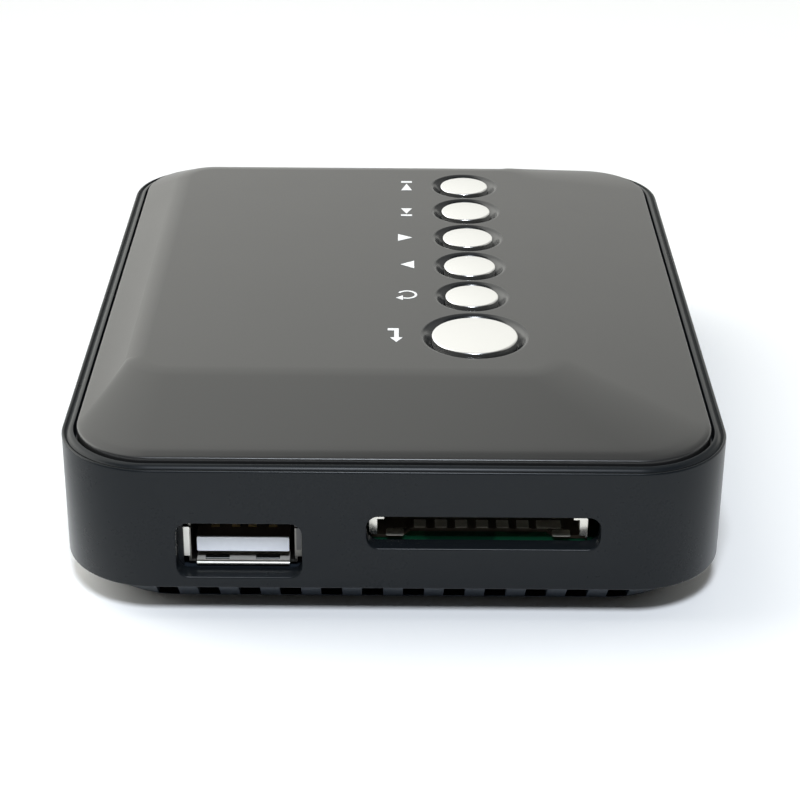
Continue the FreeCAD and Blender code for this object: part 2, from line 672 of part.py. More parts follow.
def lid_lip():
    body = new_body("lid_lip_ring")
    feature(body, "Pad", "lid_lip_block", outline(body, "lip_outside", "ledge", "lip_inset"), "lid_lip",
            flipped=True)
    feature(body, "Pocket", "lid_lip_inside", outline(body, "lip_inside", "ledge", "hollow_inset"),
            "lid_lip")
    return body


def top_cover():
    """The bevelled lid with its button dishes, lip and bosses."""
    bosses = []
    cuts = []
    for name, x, y in each_corner("post_x", "post_y"):
        bosses.append(cylinder(f"lid_post_{name}", x, y, "post_top", "post_radius",
                               "flat_top - post_top"))
        cuts.append(cylinder(f"lid_pilot_{name}", x, y, "post_top - past", "screw_shank + screw_gap",
                             "screw_seat + screw_length - post_top + 2 * past"))
    for index, (x, y) in enumerate(KEY_BOSSES):
        bosses.append(cylinder(f"key_boss_{index}", x, y, "key_board_top", "key_boss_radius",
                               "flat_top - key_board_top"))
        cuts.append(cylinder(f"key_pilot_{index}", x, y, "key_board_top - past",
                             "key_screw_shank + screw_gap", "lid_under - key_board_top + past"))
    for index, key in enumerate(KEYS):
        hole = f"{key_radius(index)} + cap_gap"
        cuts.append(cylinder(f"lid_hole_{key}", "key_x", key_y(index), "lid_under - past",
                             hole, "lid_wall + 2 * past"))
        cuts.append(cone(f"lid_dish_{key}", "key_x", key_y(index), "flat_top - dish_depth",
                         f"{hole} + dish_land", f"{key_radius(index)} + dish_width", "dish_depth"))
    outside = lid_block()
    above = cut("space_above_lid", box("space_over_rim", ("-case_width / 2", "front", "rim"),
                                       ("case_width", "case_depth", "lid_rise + past")), [outside])
    shell = cut("lid_shell", outside, [lid_hollow()])
    posts = cut("lid_bosses", fuse("lid_boss_rods", bosses), [above])
    return cut("top_cover", fuse("lid_with_bosses", [shell, lid_lip(), posts]), cuts)


def bottom_cover():
    """The floor and sloping skirt, with vents, lip, posts, standoffs and recesses for the feet."""
    body = new_body("bottom_body")
    low = outline(body, "skirt_low", "foot_height", "skirt_inset", "skirt_corner")
    high = outline(body, "skirt_high", "band_bottom", "skirt_top_inset")
    loft(body, "AdditiveLoft", "skirt", low, high)
    feature(body, "Pad", "bottom_lip", outline(body, "bottom_lip_line", "band_bottom", "lip_inset"),
            "bottom_lip")
    feature(body, "Pocket", "bottom_lip_inside",
            outline(body, "bottom_lip_hollow", "band_bottom + bottom_lip", "hollow_inset"), "bottom_lip")
    floor_line = outline(body, "hollow_low", "floor_top", "skirt_inset + floor_wall",
                         "skirt_corner - floor_wall")
    mouth = outline(body, "hollow_high", "band_bottom", "hollow_inset")
    loft(body, "SubtractiveLoft", "bottom_hollow", floor_line, mouth)
    added = [body]
    cuts = []
    for name, x, y in each_corner("post_x", "post_y"):
        added.append(cylinder(f"post_{name}", x, y, "foot_height", "post_radius", "post_top - foot_height"))
        cuts.append(cylinder(f"post_recess_{name}", x, y, "foot_height - past",
                             "screw_head + screw_clearance", "screw_recess + past"))
        cuts.append(cylinder(f"post_hole_{name}", x, y, "foot_height",
                             "screw_shank + screw_clearance", "post_top - foot_height + past"))
    for name, x, y in each_corner("board_screw_x", "board_screw_y"):
        added.append(cylinder(f"standoff_{name}", x, y, "foot_height + floor_wall / 2",
                              "standoff_radius", "board_bottom - foot_height - floor_wall / 2"))
        cuts.append(cylinder(f"standoff_pilot_{name}", x, y, "floor_top",
                             "board_screw_shank + screw_gap", "standoff_height + past"))
    for name, x, y in each_corner("foot_x", "foot_y"):
        cuts.append(cylinder(f"foot_recess_{name}", x, y, "foot_height - past",
                             "foot_radius + foot_slack", "foot_recess + past"))
    vents = count("vent_count")
    for index in range(vents):
        x = f"({index} - (vent_count - 1) / 2) * vent_pitch"
        for side, y in (("front", "front + hollow_inset / 2"), ("back", "back - hollow_inset / 2")):
            cuts.append(block(f"vent_{side}_{index}", x, y, "foot_height + vent_lift", "vent_width",
                              "2 * skirt_inset + 2 * floor_wall",
                              "skirt_height - vent_lift - vent_top"))
    return cut("bottom_cover", fuse("bottom_with_posts", added), cuts)


def rubber_foot(name, x, y):
    pad = cylinder(f"foot_pad_{name}", x, y, "foot_bevel", "foot_radius",
                   "foot_height + foot_recess - foot_bevel")
    edge = cone(f"foot_edge_{name}", x, y, "0", "foot_radius - foot_bevel", "foot_radius", "foot_bevel")
    return fuse(f"rubber_foot_{name}", [pad, edge])


def case_screws():
    return group("case_screws", [
        screw(f"case_screw_{name}", x, y, "screw_seat", "screw_head", "screw_head_thick",
              "screw_shank", "screw_length", up=True)
        for name, x, y in each_corner("post_x", "post_y")])


# ---- Boards ----

def main_board():
    """The board, cut away round the four posts and the USB socket."""
    board = box("board_blank", ("-board_side", "board_front", "board_bottom"),
                ("2 * board_side", "board_back - board_front", "board_thick"))
    reach = "post_radius + board_notch_gap"
    cuts = []
    for name, x, y in each_corner("post_x", "post_y"):
        side = -1 if "left" in name else 1
        end = -1 if "front" in name else 1
        notch_x = f"{side} * (post_x - ({reach}) + case_width / 4)"
        notch_y = f"{end} * (post_y - ({reach}) + case_width / 4)"
        cuts.append(block(f"board_notch_{name}", notch_x, notch_y, "board_bottom - past",
                          "case_width / 2", "case_width / 2", "board_thick + 2 * past"))
    for name, x, y in each_corner("board_screw_x", "board_screw_y"):
        cuts.append(cylinder(f"board_hole_{name}", x, y, "board_bottom - past",
                             "board_screw_shank + screw_clearance", "board_thick + 2 * past"))
    cuts.append(box("usb_notch", ("usb_x - usb_outer_width / 2 - usb_notch_gap", "board_front - past",
                                  "board_bottom - past"),
                    ("usb_outer_width + 2 * usb_notch_gap",
                     "usb_back + usb_notch_gap - board_front + past", "board_thick + 2 * past")))
    return cut("main_board", board, cuts)


def main_board_screws():
    return group("main_board_screws", [
        screw(f"board_screw_{name}", x, y, "board_top", "board_screw_head", "board_screw_head_thick",
              "board_screw_shank", "board_screw_length", up=False)
        for name, x, y in each_corner("board_screw_x", "board_screw_y")])


def key_board():
    board = box("key_board_blank", ("key_x - key_board_width / 2", "key_board_near", "key_board_bottom"),
                ("key_board_width", "key_board_length", "key_board_thick"))
    holes = [cylinder(f"key_board_hole_{index}", x, y, "key_board_bottom - past",
                      "key_screw_shank + screw_clearance", "key_board_thick + 2 * past")
             for index, (x, y) in enumerate(KEY_BOSSES)]
    return cut("key_board", board, holes)


def key_board_screws():
    return group("key_board_screws", [
        screw(f"key_screw_{index}", x, y, "key_board_bottom", "key_screw_head", "key_screw_head_thick",
              "key_screw_shank", "key_screw_length", up=True)
        for index, (x, y) in enumerate(KEY_BOSSES)])


# ---- Buttons and their switches ----

def button_cap(index, key):
    """A hollow cap with a flange under the lid and a post that stands on the switch plunger."""
    y = key_y(index)
    radius = key_radius(index)
    side = cylinder(f"cap_side_{key}", "key_x", y, "flange_bottom", radius,
                    "cap_face - cap_bevel - flange_bottom")
    face = cone(f"cap_face_{key}", "key_x", y, "cap_face - cap_bevel", radius,
                f"{radius} - cap_bevel_width", "cap_bevel")
    flange = cylinder(f"cap_flange_{key}", "key_x", y, "flange_bottom",
                      f"{radius} + cap_flange_width", "cap_flange")
    cavity = cylinder(f"cap_cavity_{key}", "key_x", y, "flange_bottom - past", f"{radius} - cap_wall",
                      "cap_face - cap_top - flange_bottom + past")
    post = cylinder(f"cap_post_{key}", "key_x", y, "cap_foot", "cap_post",
                    "cap_face - cap_top / 2 - cap_foot")
    shell = cut(f"cap_shell_{key}", fuse(f"cap_blank_{key}", [side, face, flange]), [cavity])
    return fuse(f"button_{key}", [shell, post])


def switch_body(index, key):
    body = block(f"switch_block_{key}", "key_x", key_y(index), "key_board_top",
                 "switch_side", "switch_side", "switch_body")
    well = cylinder(f"switch_well_{key}", "key_x", key_y(index), "well_floor",
                    "plunger_radius + plunger_gap", "switch_body + past")
    return cut(f"switch_{key}", body, [well])


def switch_plunger(index, key):
    return cylinder(f"plunger_{key}", "key_x", key_y(index), "plunger_foot", "plunger_radius",
                    "cap_foot - plunger_foot")


# ---- Link between the boards ----

def link_pin_y(index):
    return f"link_y + ({index} - (link_pins_count - 1) / 2) * link_pitch"


def link_parts():
    """A header under the key board, its pins, and the socket on the main board."""
    holes = []
    wells = []
    pins = []
    pin_foot = "link_socket_top - link_pin_reach"
    for index in range(count("link_pins_count")):
        y = link_pin_y(index)
        pins.append(block(f"link_pin_{index}", "link_x", y, pin_foot, "link_pin", "link_pin",
                          f"key_board_bottom - ({pin_foot})"))
        holes.append(block(f"link_hole_{index}", "link_x", y, "link_socket_top - past", "link_pin",
                           "link_pin", "key_board_bottom - link_socket_top + 2 * past"))
        wells.append(block(f"link_well_{index}", "link_x", y, f"{pin_foot} - link_pin_gap",
                           "link_pin + 2 * link_pin_gap", "link_pin + 2 * link_pin_gap",
                           "link_pin_reach + link_pin_gap + past"))
    header = block("link_header_block", "link_x", "link_y", "key_board_bottom - link_header_height",
                   "link_width", "link_length", "link_header_height")
    socket = block("link_socket_block", "link_x", "link_y", "board_top", "link_width", "link_length",
                   "link_socket_top - board_top")
    return [cut("link_header", header, holes), group("link_pins", pins),
            cut("link_socket", socket, wells)]


# ---- Front sockets ----

def usb_parts():
    """The USB socket: sheet shell with flared front tabs, tongue with its block, four contacts."""
    tube = box("usb_tube", ("usb_x - usb_outer_width / 2", "usb_front", "usb_floor - usb_sheet"),
               ("usb_outer_width", "usb_length", "usb_outer_height"))
    bore = box("usb_bore", ("usb_x - usb_opening_width / 2", "usb_tab_front - past", "usb_floor"),
               ("usb_opening_width", "usb_length + usb_sheet + 2 * past", "usb_opening_height"))
    solids = [
        block("usb_side_tabs", "usb_x", "usb_tab_front + usb_sheet / 2", "usb_z - usb_side_tab / 2",
              "usb_opening_width + 2 * usb_tab_reach", "usb_sheet", "usb_side_tab"),
        block("usb_end_tabs", "usb_x", "usb_tab_front + usb_sheet / 2", "usb_floor - usb_tab_reach / 2",
              "usb_tongue_width", "usb_sheet", "usb_opening_height + usb_tab_reach"),
        tube,
        block("usb_legs", "usb_x", "usb_front + usb_leg_length", "board_top",
              "usb_outer_width + 2 * usb_leg_width", "usb_leg_length", "usb_sheet"),
    ]
    shell = cut("usb_shell", fuse("usb_shell_blank", solids), [bore])
    tongue = fuse("usb_tongue", [
        box("usb_tongue_bar", ("usb_x - usb_tongue_width / 2", "usb_tongue_front",
                               "usb_tongue_top - usb_tongue_thick"),
            ("usb_tongue_width", "usb_back - usb_tongue_front", "usb_tongue_thick")),
        box("usb_tongue_block", ("usb_x - usb_opening_width / 2", "usb_back - usb_block", "usb_floor"),
            ("usb_opening_width", "usb_block", "usb_opening_height"))])
    contacts = []
    places = ("-usb_outer_contact", "-usb_inner_contact", "+usb_inner_contact", "+usb_outer_contact")
    for index, offset in enumerate(places):
        contacts.append(box(f"usb_contact_{index}",
                            (f"usb_x {offset} - usb_contact_width / 2",
                             "usb_back - usb_block - usb_contact_length", "usb_tongue_top"),
                            ("usb_contact_width", "usb_contact_length", "usb_contact_thick")))
    return [shell, tongue, group("usb_contacts", contacts)]


def sd_parts():
    """The card socket: plastic base, sheet cover, contacts on the base's floor."""
    floor = box("sd_floor_plate", ("sd_x - sd_outer_width / 2 + sd_sheet", "sd_front + sd_floor_step",
                                   "board_top"),
                ("sd_outer_width - 2 * sd_sheet", "sd_length - sd_floor_step", "sd_floor"))
    arms = box("sd_arms_plate", ("sd_x - sd_outer_width / 2 + sd_sheet", "sd_front + sd_front_gap",
                                 "board_top"),
               ("sd_outer_width - 2 * sd_sheet", "sd_floor_step", "sd_floor"))
    mouth = taper_plan("sd_arm_gap", "sd_x", "sd_front + sd_front_gap - past", "board_top - past",
                       "2 * sd_arm_out", "2 * sd_arm_in", "sd_floor_step + past - sd_front_gap",
                       "sd_floor + 2 * past")
    rails = []
    for side, low_x in (("left", "sd_x - sd_outer_width / 2 + sd_sheet"),
                        ("right", "sd_x + sd_slot_width / 2")):
        rails.append(box(f"sd_rail_{side}", (low_x, "sd_front + sd_floor_step", "board_top"),
                         ("sd_rail", "sd_length - sd_floor_step", "sd_height - sd_sheet")))
    rear = box("sd_rear_block", ("sd_x - sd_outer_width / 2 + sd_sheet",
                                 "sd_front + sd_length - sd_block", "board_top"),
               ("sd_outer_width - 2 * sd_sheet", "sd_block", "sd_height - sd_sheet"))
    base = fuse("sd_base", [floor, cut("sd_arms", arms, [mouth]), rear] + rails)
    shell = box("sd_cover_blank", ("sd_x - sd_outer_width / 2", "sd_front", "board_top"),
                ("sd_outer_width", "sd_length", "sd_height"))
    inside = box("sd_cover_inside", ("sd_x - sd_outer_width / 2 + sd_sheet", "sd_front - past",
                                     "board_top - past"),
                 ("sd_outer_width - 2 * sd_sheet", "sd_length + 2 * past",
                  "sd_height - sd_sheet + past"))
    contacts = []
    last = count("sd_contact_count") - 1
    for index in range(last + 1):
        x = f"sd_x - sd_contact_first + {index} * sd_contact_pitch"
        if index == last:
            x += " - sd_contact_pitch + sd_contact_last_pitch"
        contacts.append(box(f"sd_contact_{index}",
                            (f"{x} - sd_contact_width / 2", "sd_front + sd_floor_step", "sd_floor_top"),
                            ("sd_contact_width",
                             "sd_length - sd_floor_step - sd_block - sd_contact_back",
                             "sd_contact_thick")))
    return [base, cut("sd_cover", shell, [inside]), group("sd_contacts", contacts)]


# ---- Rear sockets ----

def hdmi_solid(name, grow, near_extra, length):
    """The socket's D shape, grown all round, ending near_extra past the socket's mouth."""
    upper = box(name + "_upper", (f"hdmi_x - hdmi_width / 2 - {grow}",
                                  f"rear_face + {near_extra} - ({length})", "hdmi_floor + hdmi_lower"),
                (f"hdmi_width + 2 * {grow}", length, f"hdmi_upper + {grow}"))
    lower = taper(name + "_lower", "hdmi_x", f"rear_face + {near_extra}", f"hdmi_floor - {grow}",
                  f"hdmi_low_width + 2 * {grow}", f"hdmi_width + 2 * {grow}",
                  f"hdmi_lower + {grow}", length)
    return fuse(name, [upper, lower])


def hdmi_parts():
    """The HDMI socket: shell, tongue with its block, and contacts on both faces of the tongue."""
    shell = cut("hdmi_shell", hdmi_solid("hdmi_outer", "hdmi_sheet", "0", "hdmi_length"),
                [hdmi_solid("hdmi_inner", "0", "past", "hdmi_length + 2 * past")])
    slab = hdmi_solid("hdmi_block", "0", "-hdmi_inner_length", "hdmi_block")
    bar = box("hdmi_bar", ("hdmi_x - hdmi_tongue_width / 2", "rear_face - hdmi_inner_length",
                           "hdmi_tongue_z - hdmi_tongue_thick / 2"),
              ("hdmi_tongue_width", "hdmi_inner_length - hdmi_tongue_recess", "hdmi_tongue_thick"))
    contacts = []
    for index in range(count("hdmi_contact_count")):
        x = f"hdmi_x + ({index} - (hdmi_contact_count - 1) / 2) * hdmi_contact_pitch"
        faces = (("top", "hdmi_tongue_z + hdmi_tongue_thick / 2"),
                 ("under", "hdmi_tongue_z - hdmi_tongue_thick / 2 - hdmi_contact_thick"))
        for face, z in faces:
            contacts.append(box(f"hdmi_contact_{face}_{index}",
                                (f"{x} - hdmi_contact_width / 2", "rear_face - hdmi_inner_length", z),
                                ("hdmi_contact_width", "hdmi_inner_length - hdmi_tongue_recess",
                                 "hdmi_contact_thick")))
    return [shell, fuse("hdmi_tongue", [slab, bar]), group("hdmi_contacts", contacts)]


def jack(kind):
    """A round jack: body behind the band's wall, nose through it, and a bore from its mouth."""
    body = box(f"{kind}_block", (f"{kind}_x - {kind}_width / 2", f"jack_back - {kind}_length",
                                 "board_top"),
               (f"{kind}_width", f"{kind}_length", f"{kind}_height"))
    nose = rod(f"{kind}_nose_rod", f"{kind}_x", "jack_back - past", f"{kind}_z", f"{kind}_nose",
               "rear_face - jack_back + past")
    bore = rod(f"{kind}_bore_rod", f"{kind}_x", f"rear_face - {kind}_bore_length", f"{kind}_z",
               f"{kind}_bore", f"{kind}_bore_length + past")
    return cut(f"{kind}_jack", fuse(f"{kind}_jack_blank", [body, nose]), [bore])


def jack_terminals(kind):
    """Solder terminals that stand on the board against the jack's two sides."""
    pieces = []
    for side, low_x in (("left", f"{kind}_x - {kind}_width / 2 - terminal_thick"),
                        ("right", f"{kind}_x + {kind}_width / 2")):
        for end, y in (("near", f"jack_back - {kind}_length + terminal_inset"),
                       ("far", "jack_back - terminal_inset - terminal_width")):
            pieces.append(box(f"{kind}_terminal_{side}_{end}", (low_x, y, "board_top"),
                              ("terminal_thick", "terminal_width", "terminal_height")))
    return group(f"{kind}_jack_terminals", pieces)


def dc_jack_pin():
    """The centre pin, standing on the closed end of the DC jack's bore."""
    return rod("dc_jack_pin", "dc_x", "rear_face - dc_bore_length", "dc_z", "dc_pin",
               "dc_bore_length - dc_pin_recess")


# ---- Components ----

def heat_sink():
    base = block("sink_plate", "chip_x", "chip_y", "sink_bottom", "sink_side", "sink_side", "sink_base")
    fins = []
    for index in range(count("fin_count")):
        x = (f"chip_x - sink_side / 2 + {index} * (sink_side - fin_thick) / (fin_count - 1)")
        fins.append(box(f"sink_fin_{index}", (x, "chip_y - sink_side / 2", "sink_bottom"),
                        ("fin_thick", "sink_side", "sink_height")))
    return fuse("heat_sink", [base] + fins)


def memory_chip(index):
    return block(f"memory_chip_{index + 1}", "memory_x", f"memory_y + {index} * memory_pitch",
                 "board_top", "memory_length", "memory_width", "memory_height")


def power_inductors():
    return group("power_inductors", [
        block(f"inductor_{side}", f"chip_x {offset} coil_pitch / 2", "coil_y", "board_top",
              "coil_side", "coil_side", "coil_height")
        for side, offset in (("left", "-"), ("right", "+"))])


def electrolytic_capacitors():
    pieces = []
    for index in range(count("can_count")):
        y = f"can_y + {index} * can_pitch"
        foot = block(f"can_foot_{index}", "can_x", y, "board_top", "2 * can_radius", "2 * can_radius",
                     "can_base")
        can = cylinder(f"can_{index}", "can_x", y, "board_top", "can_radius", "can_base + can_height")
        pieces.append(fuse(f"capacitor_{index}", [foot, can]))
    return group("electrolytic_capacitors", pieces)


def ir_receiver():
    y = "board_front + receiver_depth / 2 + receiver_lens / 2"
    body = block("receiver_block", "receiver_x", y, "board_top", "receiver_width", "receiver_depth",
                 "receiver_height")
    lens = cylinder("receiver_dome", "receiver_x", "board_front + receiver_lens", "board_top",
                    "receiver_lens", "receiver_lens_z + receiver_lens")
    return fuse("ir_receiver", [body, lens])


def chip_capacitors():
    """Two rows of small ceramic capacitors behind the heat sink."""
    pieces = []
    per_row = count("small_part_count") // 2
    for index in range(2 * per_row):
        row, column = divmod(index, per_row)
        x = f"chip_x + ({column} - {(per_row - 1) / 2}) * small_part_pitch"
        y = f"sink_back + small_part_gap + {row} * small_part_row"
        pieces.append(block(f"small_part_{index}", x, y, "board_top", "small_part_width",
                            "small_part_length", "small_part_width"))
    return group("chip_capacitors", pieces)


def components():
    return [
        block("processor_chip", "chip_x", "chip_y", "board_top", "chip_side", "chip_side",
              "chip_height"),
        block("thermal_pad", "chip_x", "chip_y", "board_top + chip_height", "pad_side", "pad_side",
              "pad_height"),
        heat_sink(),
        memory_chip(0),
        memory_chip(1),
        block("flash_chip", "chip_x - sink_side / 2 - flash_gap - flash_width / 2", "chip_y",
              "board_top", "flash_width", "flash_length", "flash_height"),
        block("clock_crystal", "chip_x", "chip_y - sink_side / 2 - crystal_gap", "board_top",
              "crystal_width", "crystal_length", "crystal_height"),
        power_inductors(),
        electrolytic_capacitors(),
        block("regulator_chip", "chip_x", "coil_y + coil_side / 2 + regulator_gap + regulator_side / 2",
              "board_top", "regulator_side", "regulator_side", "regulator_height"),
        ir_receiver(),
        chip_capacitors(),
    ]


# ---- Whole player ----

def value(text):
    """The number that a formula gives now."""
    probe = doc.addObject("App::FeaturePython", "Probe")
    probe.addProperty("App::PropertyFloat", "Number")
    probe.setExpression("Number", formula(text))
    doc.recompute()
    number = probe.Number
    doc.removeObject(probe.Name)
    return number


def build():
    pieces = [side_band(), top_cover(), bottom_cover(), case_screws()]
    pieces += [rubber_foot(name, x, y) for name, x, y in each_corner("foot_x", "foot_y")]
    pieces += [main_board(), main_board_screws(), key_board(), key_board_screws()]
    for index, key in enumerate(KEYS):
        pieces += [button_cap(index, key), switch_plunger(index, key), switch_body(index, key)]
    pieces += link_parts() + usb_parts() + sd_parts() + hdmi_parts()
    pieces += [jack("av"), jack_terminals("av"), jack("dc"), jack_terminals("dc"), dc_jack_pin()]
    pieces += components()
    return pieces


def check_and_write(pieces):
    """Stop on any failed object, then write each piece to its own file."""
    doc.recompute()
    for item in doc.Objects:
        if "Invalid" in item.State or "Error" in item.State:
            raise RuntimeError(f"{item.Label} failed")
    for piece in pieces:
        if piece.Shape.isNull() or not piece.Shape.isValid():
            raise RuntimeError(f"{piece.Label} has no valid shape")
        piece.Shape.exportStep(f"parts/{piece.Label}.step")
    print(len(pieces), "pieces written")


fill_sheet()
check_and_write(build())
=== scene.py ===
# %% [markdown]
# # A small media player
# A box about 81 mm wide and 101 mm deep: a black lid with bevelled sides and six pale buttons, a smooth
# blue-black band with a USB socket and a card socket in front and video, sound and power sockets behind,
# and a vented cover below it on rubber feet.  The construction model gives the main sizes and places, and
# the pieces here dress it: softer edges, sheet-metal sockets, printed signs and finishes.

# %% The construction model
import json
import math

import bmesh
import bpy
from mathutils import Matrix, Quaternion, Vector


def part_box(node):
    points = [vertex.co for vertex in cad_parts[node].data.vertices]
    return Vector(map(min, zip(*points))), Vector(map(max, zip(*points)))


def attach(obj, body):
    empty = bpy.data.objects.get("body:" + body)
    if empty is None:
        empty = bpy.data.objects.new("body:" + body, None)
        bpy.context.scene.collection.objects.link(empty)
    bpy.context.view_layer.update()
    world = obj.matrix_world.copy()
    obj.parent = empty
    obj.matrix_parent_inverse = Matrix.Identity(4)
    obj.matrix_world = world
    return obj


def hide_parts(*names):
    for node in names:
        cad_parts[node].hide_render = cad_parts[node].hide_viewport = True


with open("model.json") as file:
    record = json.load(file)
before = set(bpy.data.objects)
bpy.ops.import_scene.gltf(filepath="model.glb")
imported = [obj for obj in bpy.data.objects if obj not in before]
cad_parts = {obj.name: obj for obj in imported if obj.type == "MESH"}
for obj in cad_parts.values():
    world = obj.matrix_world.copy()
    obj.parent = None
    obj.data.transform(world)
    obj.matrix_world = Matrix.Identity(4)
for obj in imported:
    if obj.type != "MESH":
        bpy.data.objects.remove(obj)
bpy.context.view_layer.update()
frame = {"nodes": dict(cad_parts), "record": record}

MM = 0.001
KEYS = ["enter", "return", "up", "down", "left", "right"]

# %% [markdown]
# ## Camera
# A hand-sized box shows its front and its lid together from about 30 cm away, looking down at it by about
# 27 degrees, and a long lens keeps its sides from spreading.  The camera could track an empty at the point
# it looks at; here its place and its three turns are set directly, which leaves no helper in the scene.

# %% Camera
camera = bpy.data.objects.new("camera", bpy.data.cameras.new("camera"))
bpy.context.scene.collection.objects.link(camera)
bpy.context.scene.camera = camera
camera.data.lens = 92.954
camera.data.sensor_width = 36.0
camera.data.clip_start = 0.01
camera_turn, camera_dip, camera_roll = 0.0022, 0.4652, 0.0079
level = math.cos(camera_dip)
look = Vector((math.sin(camera_turn) * level, math.cos(camera_turn) * level, -math.sin(camera_dip)))
camera.rotation_mode = "QUATERNION"
camera.rotation_quaternion = look.to_track_quat("-Z", "Y") @ Quaternion((0, 0, 1), camera_roll)
camera.location = Vector((0.20, -262.52, 136.18)) * MM
print("camera", [round(part / MM) for part in camera.location], "mm, looking down",
      round(math.degrees(camera_dip), 1), "degrees")

# %% [markdown]
# ## Shader maths as Python sums
# A finish is a small network of nodes.  Written node by node it is hard to read, so a socket is wrapped
# in a class that overloads the operators: `grain * 0.1 + 0.3` adds the Math nodes by itself.  Every other
# node comes from one method, `node`, which takes its type, its settings and what goes into its sockets.
# The finishes and the light of the room are both written in this way.

# %% A socket that can be added and multiplied
class Socket:
    """An output socket in a network of nodes."""

    def __init__(self, network, socket):
        self.network = network
        self.socket = socket

    def math(self, operation, *values):
        return self.network.node("ShaderNodeMath", {"operation": operation}, dict(enumerate(values)))

    def __add__(self, other):
        return self.math("ADD", self, other)

    def __sub__(self, other):
        return self.math("SUBTRACT", self, other)

    def __rsub__(self, other):
        return self.math("SUBTRACT", other, self)

    def __mul__(self, other):
        return self.math("MULTIPLY", self, other)

    def __abs__(self):
        return self.math("ABSOLUTE", self)

    __radd__ = __add__
    __rmul__ = __mul__


print("sockets can be added, subtracted and multiplied")

# %% A network of nodes
class Network:
    """The nodes of a finish or of the room."""

    def __init__(self, tree):
        self.tree = tree

    def node(self, kind, settings=None, inputs=None, output=0):
        """Add a node: settings first, then the values or links of its sockets."""
        made = self.tree.nodes.new(kind)
        for name, setting in (settings or {}).items():
            if name == "stops":
                self.stops(made.color_ramp, setting)
            else:
                setattr(made, name, setting)
        for name, given in (inputs or {}).items():
            self.join(given, made.inputs[name])
        return Socket(self, made.outputs[output])

    def stops(self, ramp, stops):
        while len(ramp.elements) < len(stops):
            ramp.elements.new(1.0)
        for element, (position, colour) in zip(ramp.elements, stops):
            element.position = position
            element.color = colour

    def join(self, given, target):
        if isinstance(given, Socket):
            self.tree.links.new(given.socket, target)
        else:
            target.default_value = given


print("nodes can be added and joined")

# %% A finish: one material and the nodes in it
class Finish(Network):
    """A material on the Principled shader, with its nodes."""

    def __init__(self, name, colour, roughness, metallic=0.0, **plain):
        self.material = bpy.data.materials.new(name)
        self.material.use_nodes = True
        super().__init__(self.material.node_tree)
        self.shader = self.tree.nodes["Principled BSDF"]
        self.place = self.node("ShaderNodeTexCoord", output="Object")
        self.set("Base Color", (*colour, 1.0))
        self.set("Roughness", roughness)
        self.set("Metallic", metallic)
        for socket, number in plain.items():
            self.set(socket.replace("_", " ").title().replace("Ior", "IOR"), number)

    def set(self, socket, given):
        self.join(given, self.shader.inputs[socket])

    def noise(self, size, detail=2.0, stretch=(1, 1, 1)):
        """Soft random spots from 0 to 1, about size millimetres across."""
        place = self.node("ShaderNodeMapping", {}, {"Vector": self.place, "Scale": stretch})
        return self.node("ShaderNodeTexNoise", {}, {"Vector": place, "Scale": 1 / (size * MM),
                                                    "Detail": detail})

    def blend(self, mask, low, high):
        """Colour low where the mask is 0, and high where it is 1."""
        return self.node("ShaderNodeMix", {"data_type": "RGBA"},
                         {"Factor": mask, 6: (*low, 1.0), 7: (*high, 1.0)}, output=2)

    def bump(self, height, depth):
        """Raise the surface by height, from 0 to 1, times depth in millimetres."""
        self.set("Normal", self.node("ShaderNodeBump", {}, {"Height": height, "Distance": depth * MM,
                                                            "Strength": 1.0}))


def shade(level, colour):
    """The same colour, lighter or darker."""
    return tuple(level * part for part in colour)


print("finishes can be mixed")

# %% [markdown]
# ## Plain shapes and how one is cut out of another
# Sockets and tools are blocks with rounded edges, round bars and turned shapes.  Each comes from a cube, a
# cone or a spun line.  An opening could be drawn into each wall by hand; it is quicker and cleaner to make
# the shape of the hole and to subtract it with a Boolean, and to bevel the edges that this leaves.

# %% Blocks, rods and turned shapes
def block(bm, left, right, front, back, low, high, corner=0.0, along="Y", steps=8):
    """A block, with the four edges along one axis rounded."""
    verts = bmesh.ops.create_cube(bm, size=1.0)["verts"]
    bmesh.ops.scale(bm, vec=(right - left, back - front, high - low), verts=verts)
    bmesh.ops.translate(bm, vec=((left + right) / 2, (front + back) / 2, (low + high) / 2), verts=verts)
    if corner:
        axis = "XYZ".index(along)
        edges = {edge for vert in verts for edge in vert.link_edges
                 if abs(edge.verts[0].co[axis] - edge.verts[1].co[axis]) > 1e-4}
        bmesh.ops.bevel(bm, geom=list(edges), affect="EDGES", offset=corner, segments=steps,
                        profile=0.5, material=-1)


def rod(bm, x, z, front, back, radius, steps=48):
    """A round bar from front to back."""
    turn = Matrix.Translation((x, (front + back) / 2, z)) @ Matrix.Rotation(math.pi / 2, 4, "X")
    bmesh.ops.create_cone(bm, cap_ends=True, radius1=radius, radius2=radius, depth=back - front,
                          segments=steps, matrix=turn)


def turned(bm, points, x, y, steps=64):
    """Spin a half section, given as radius and height, round a vertical axis."""
    verts = [bm.verts.new((x + radius, y, z)) for radius, z in points]
    edges = [bm.edges.new(pair) for pair in zip(verts, verts[1:])]
    bmesh.ops.spin(bm, geom=verts + edges, cent=(x, y, 0), axis=(0, 0, 1), angle=math.tau, steps=steps,
                   use_merge=True)


print("blocks, rods and turned shapes can be made")

# %% Cutting one shape out of another
OVERCUT = 1.0
SHARP = 32


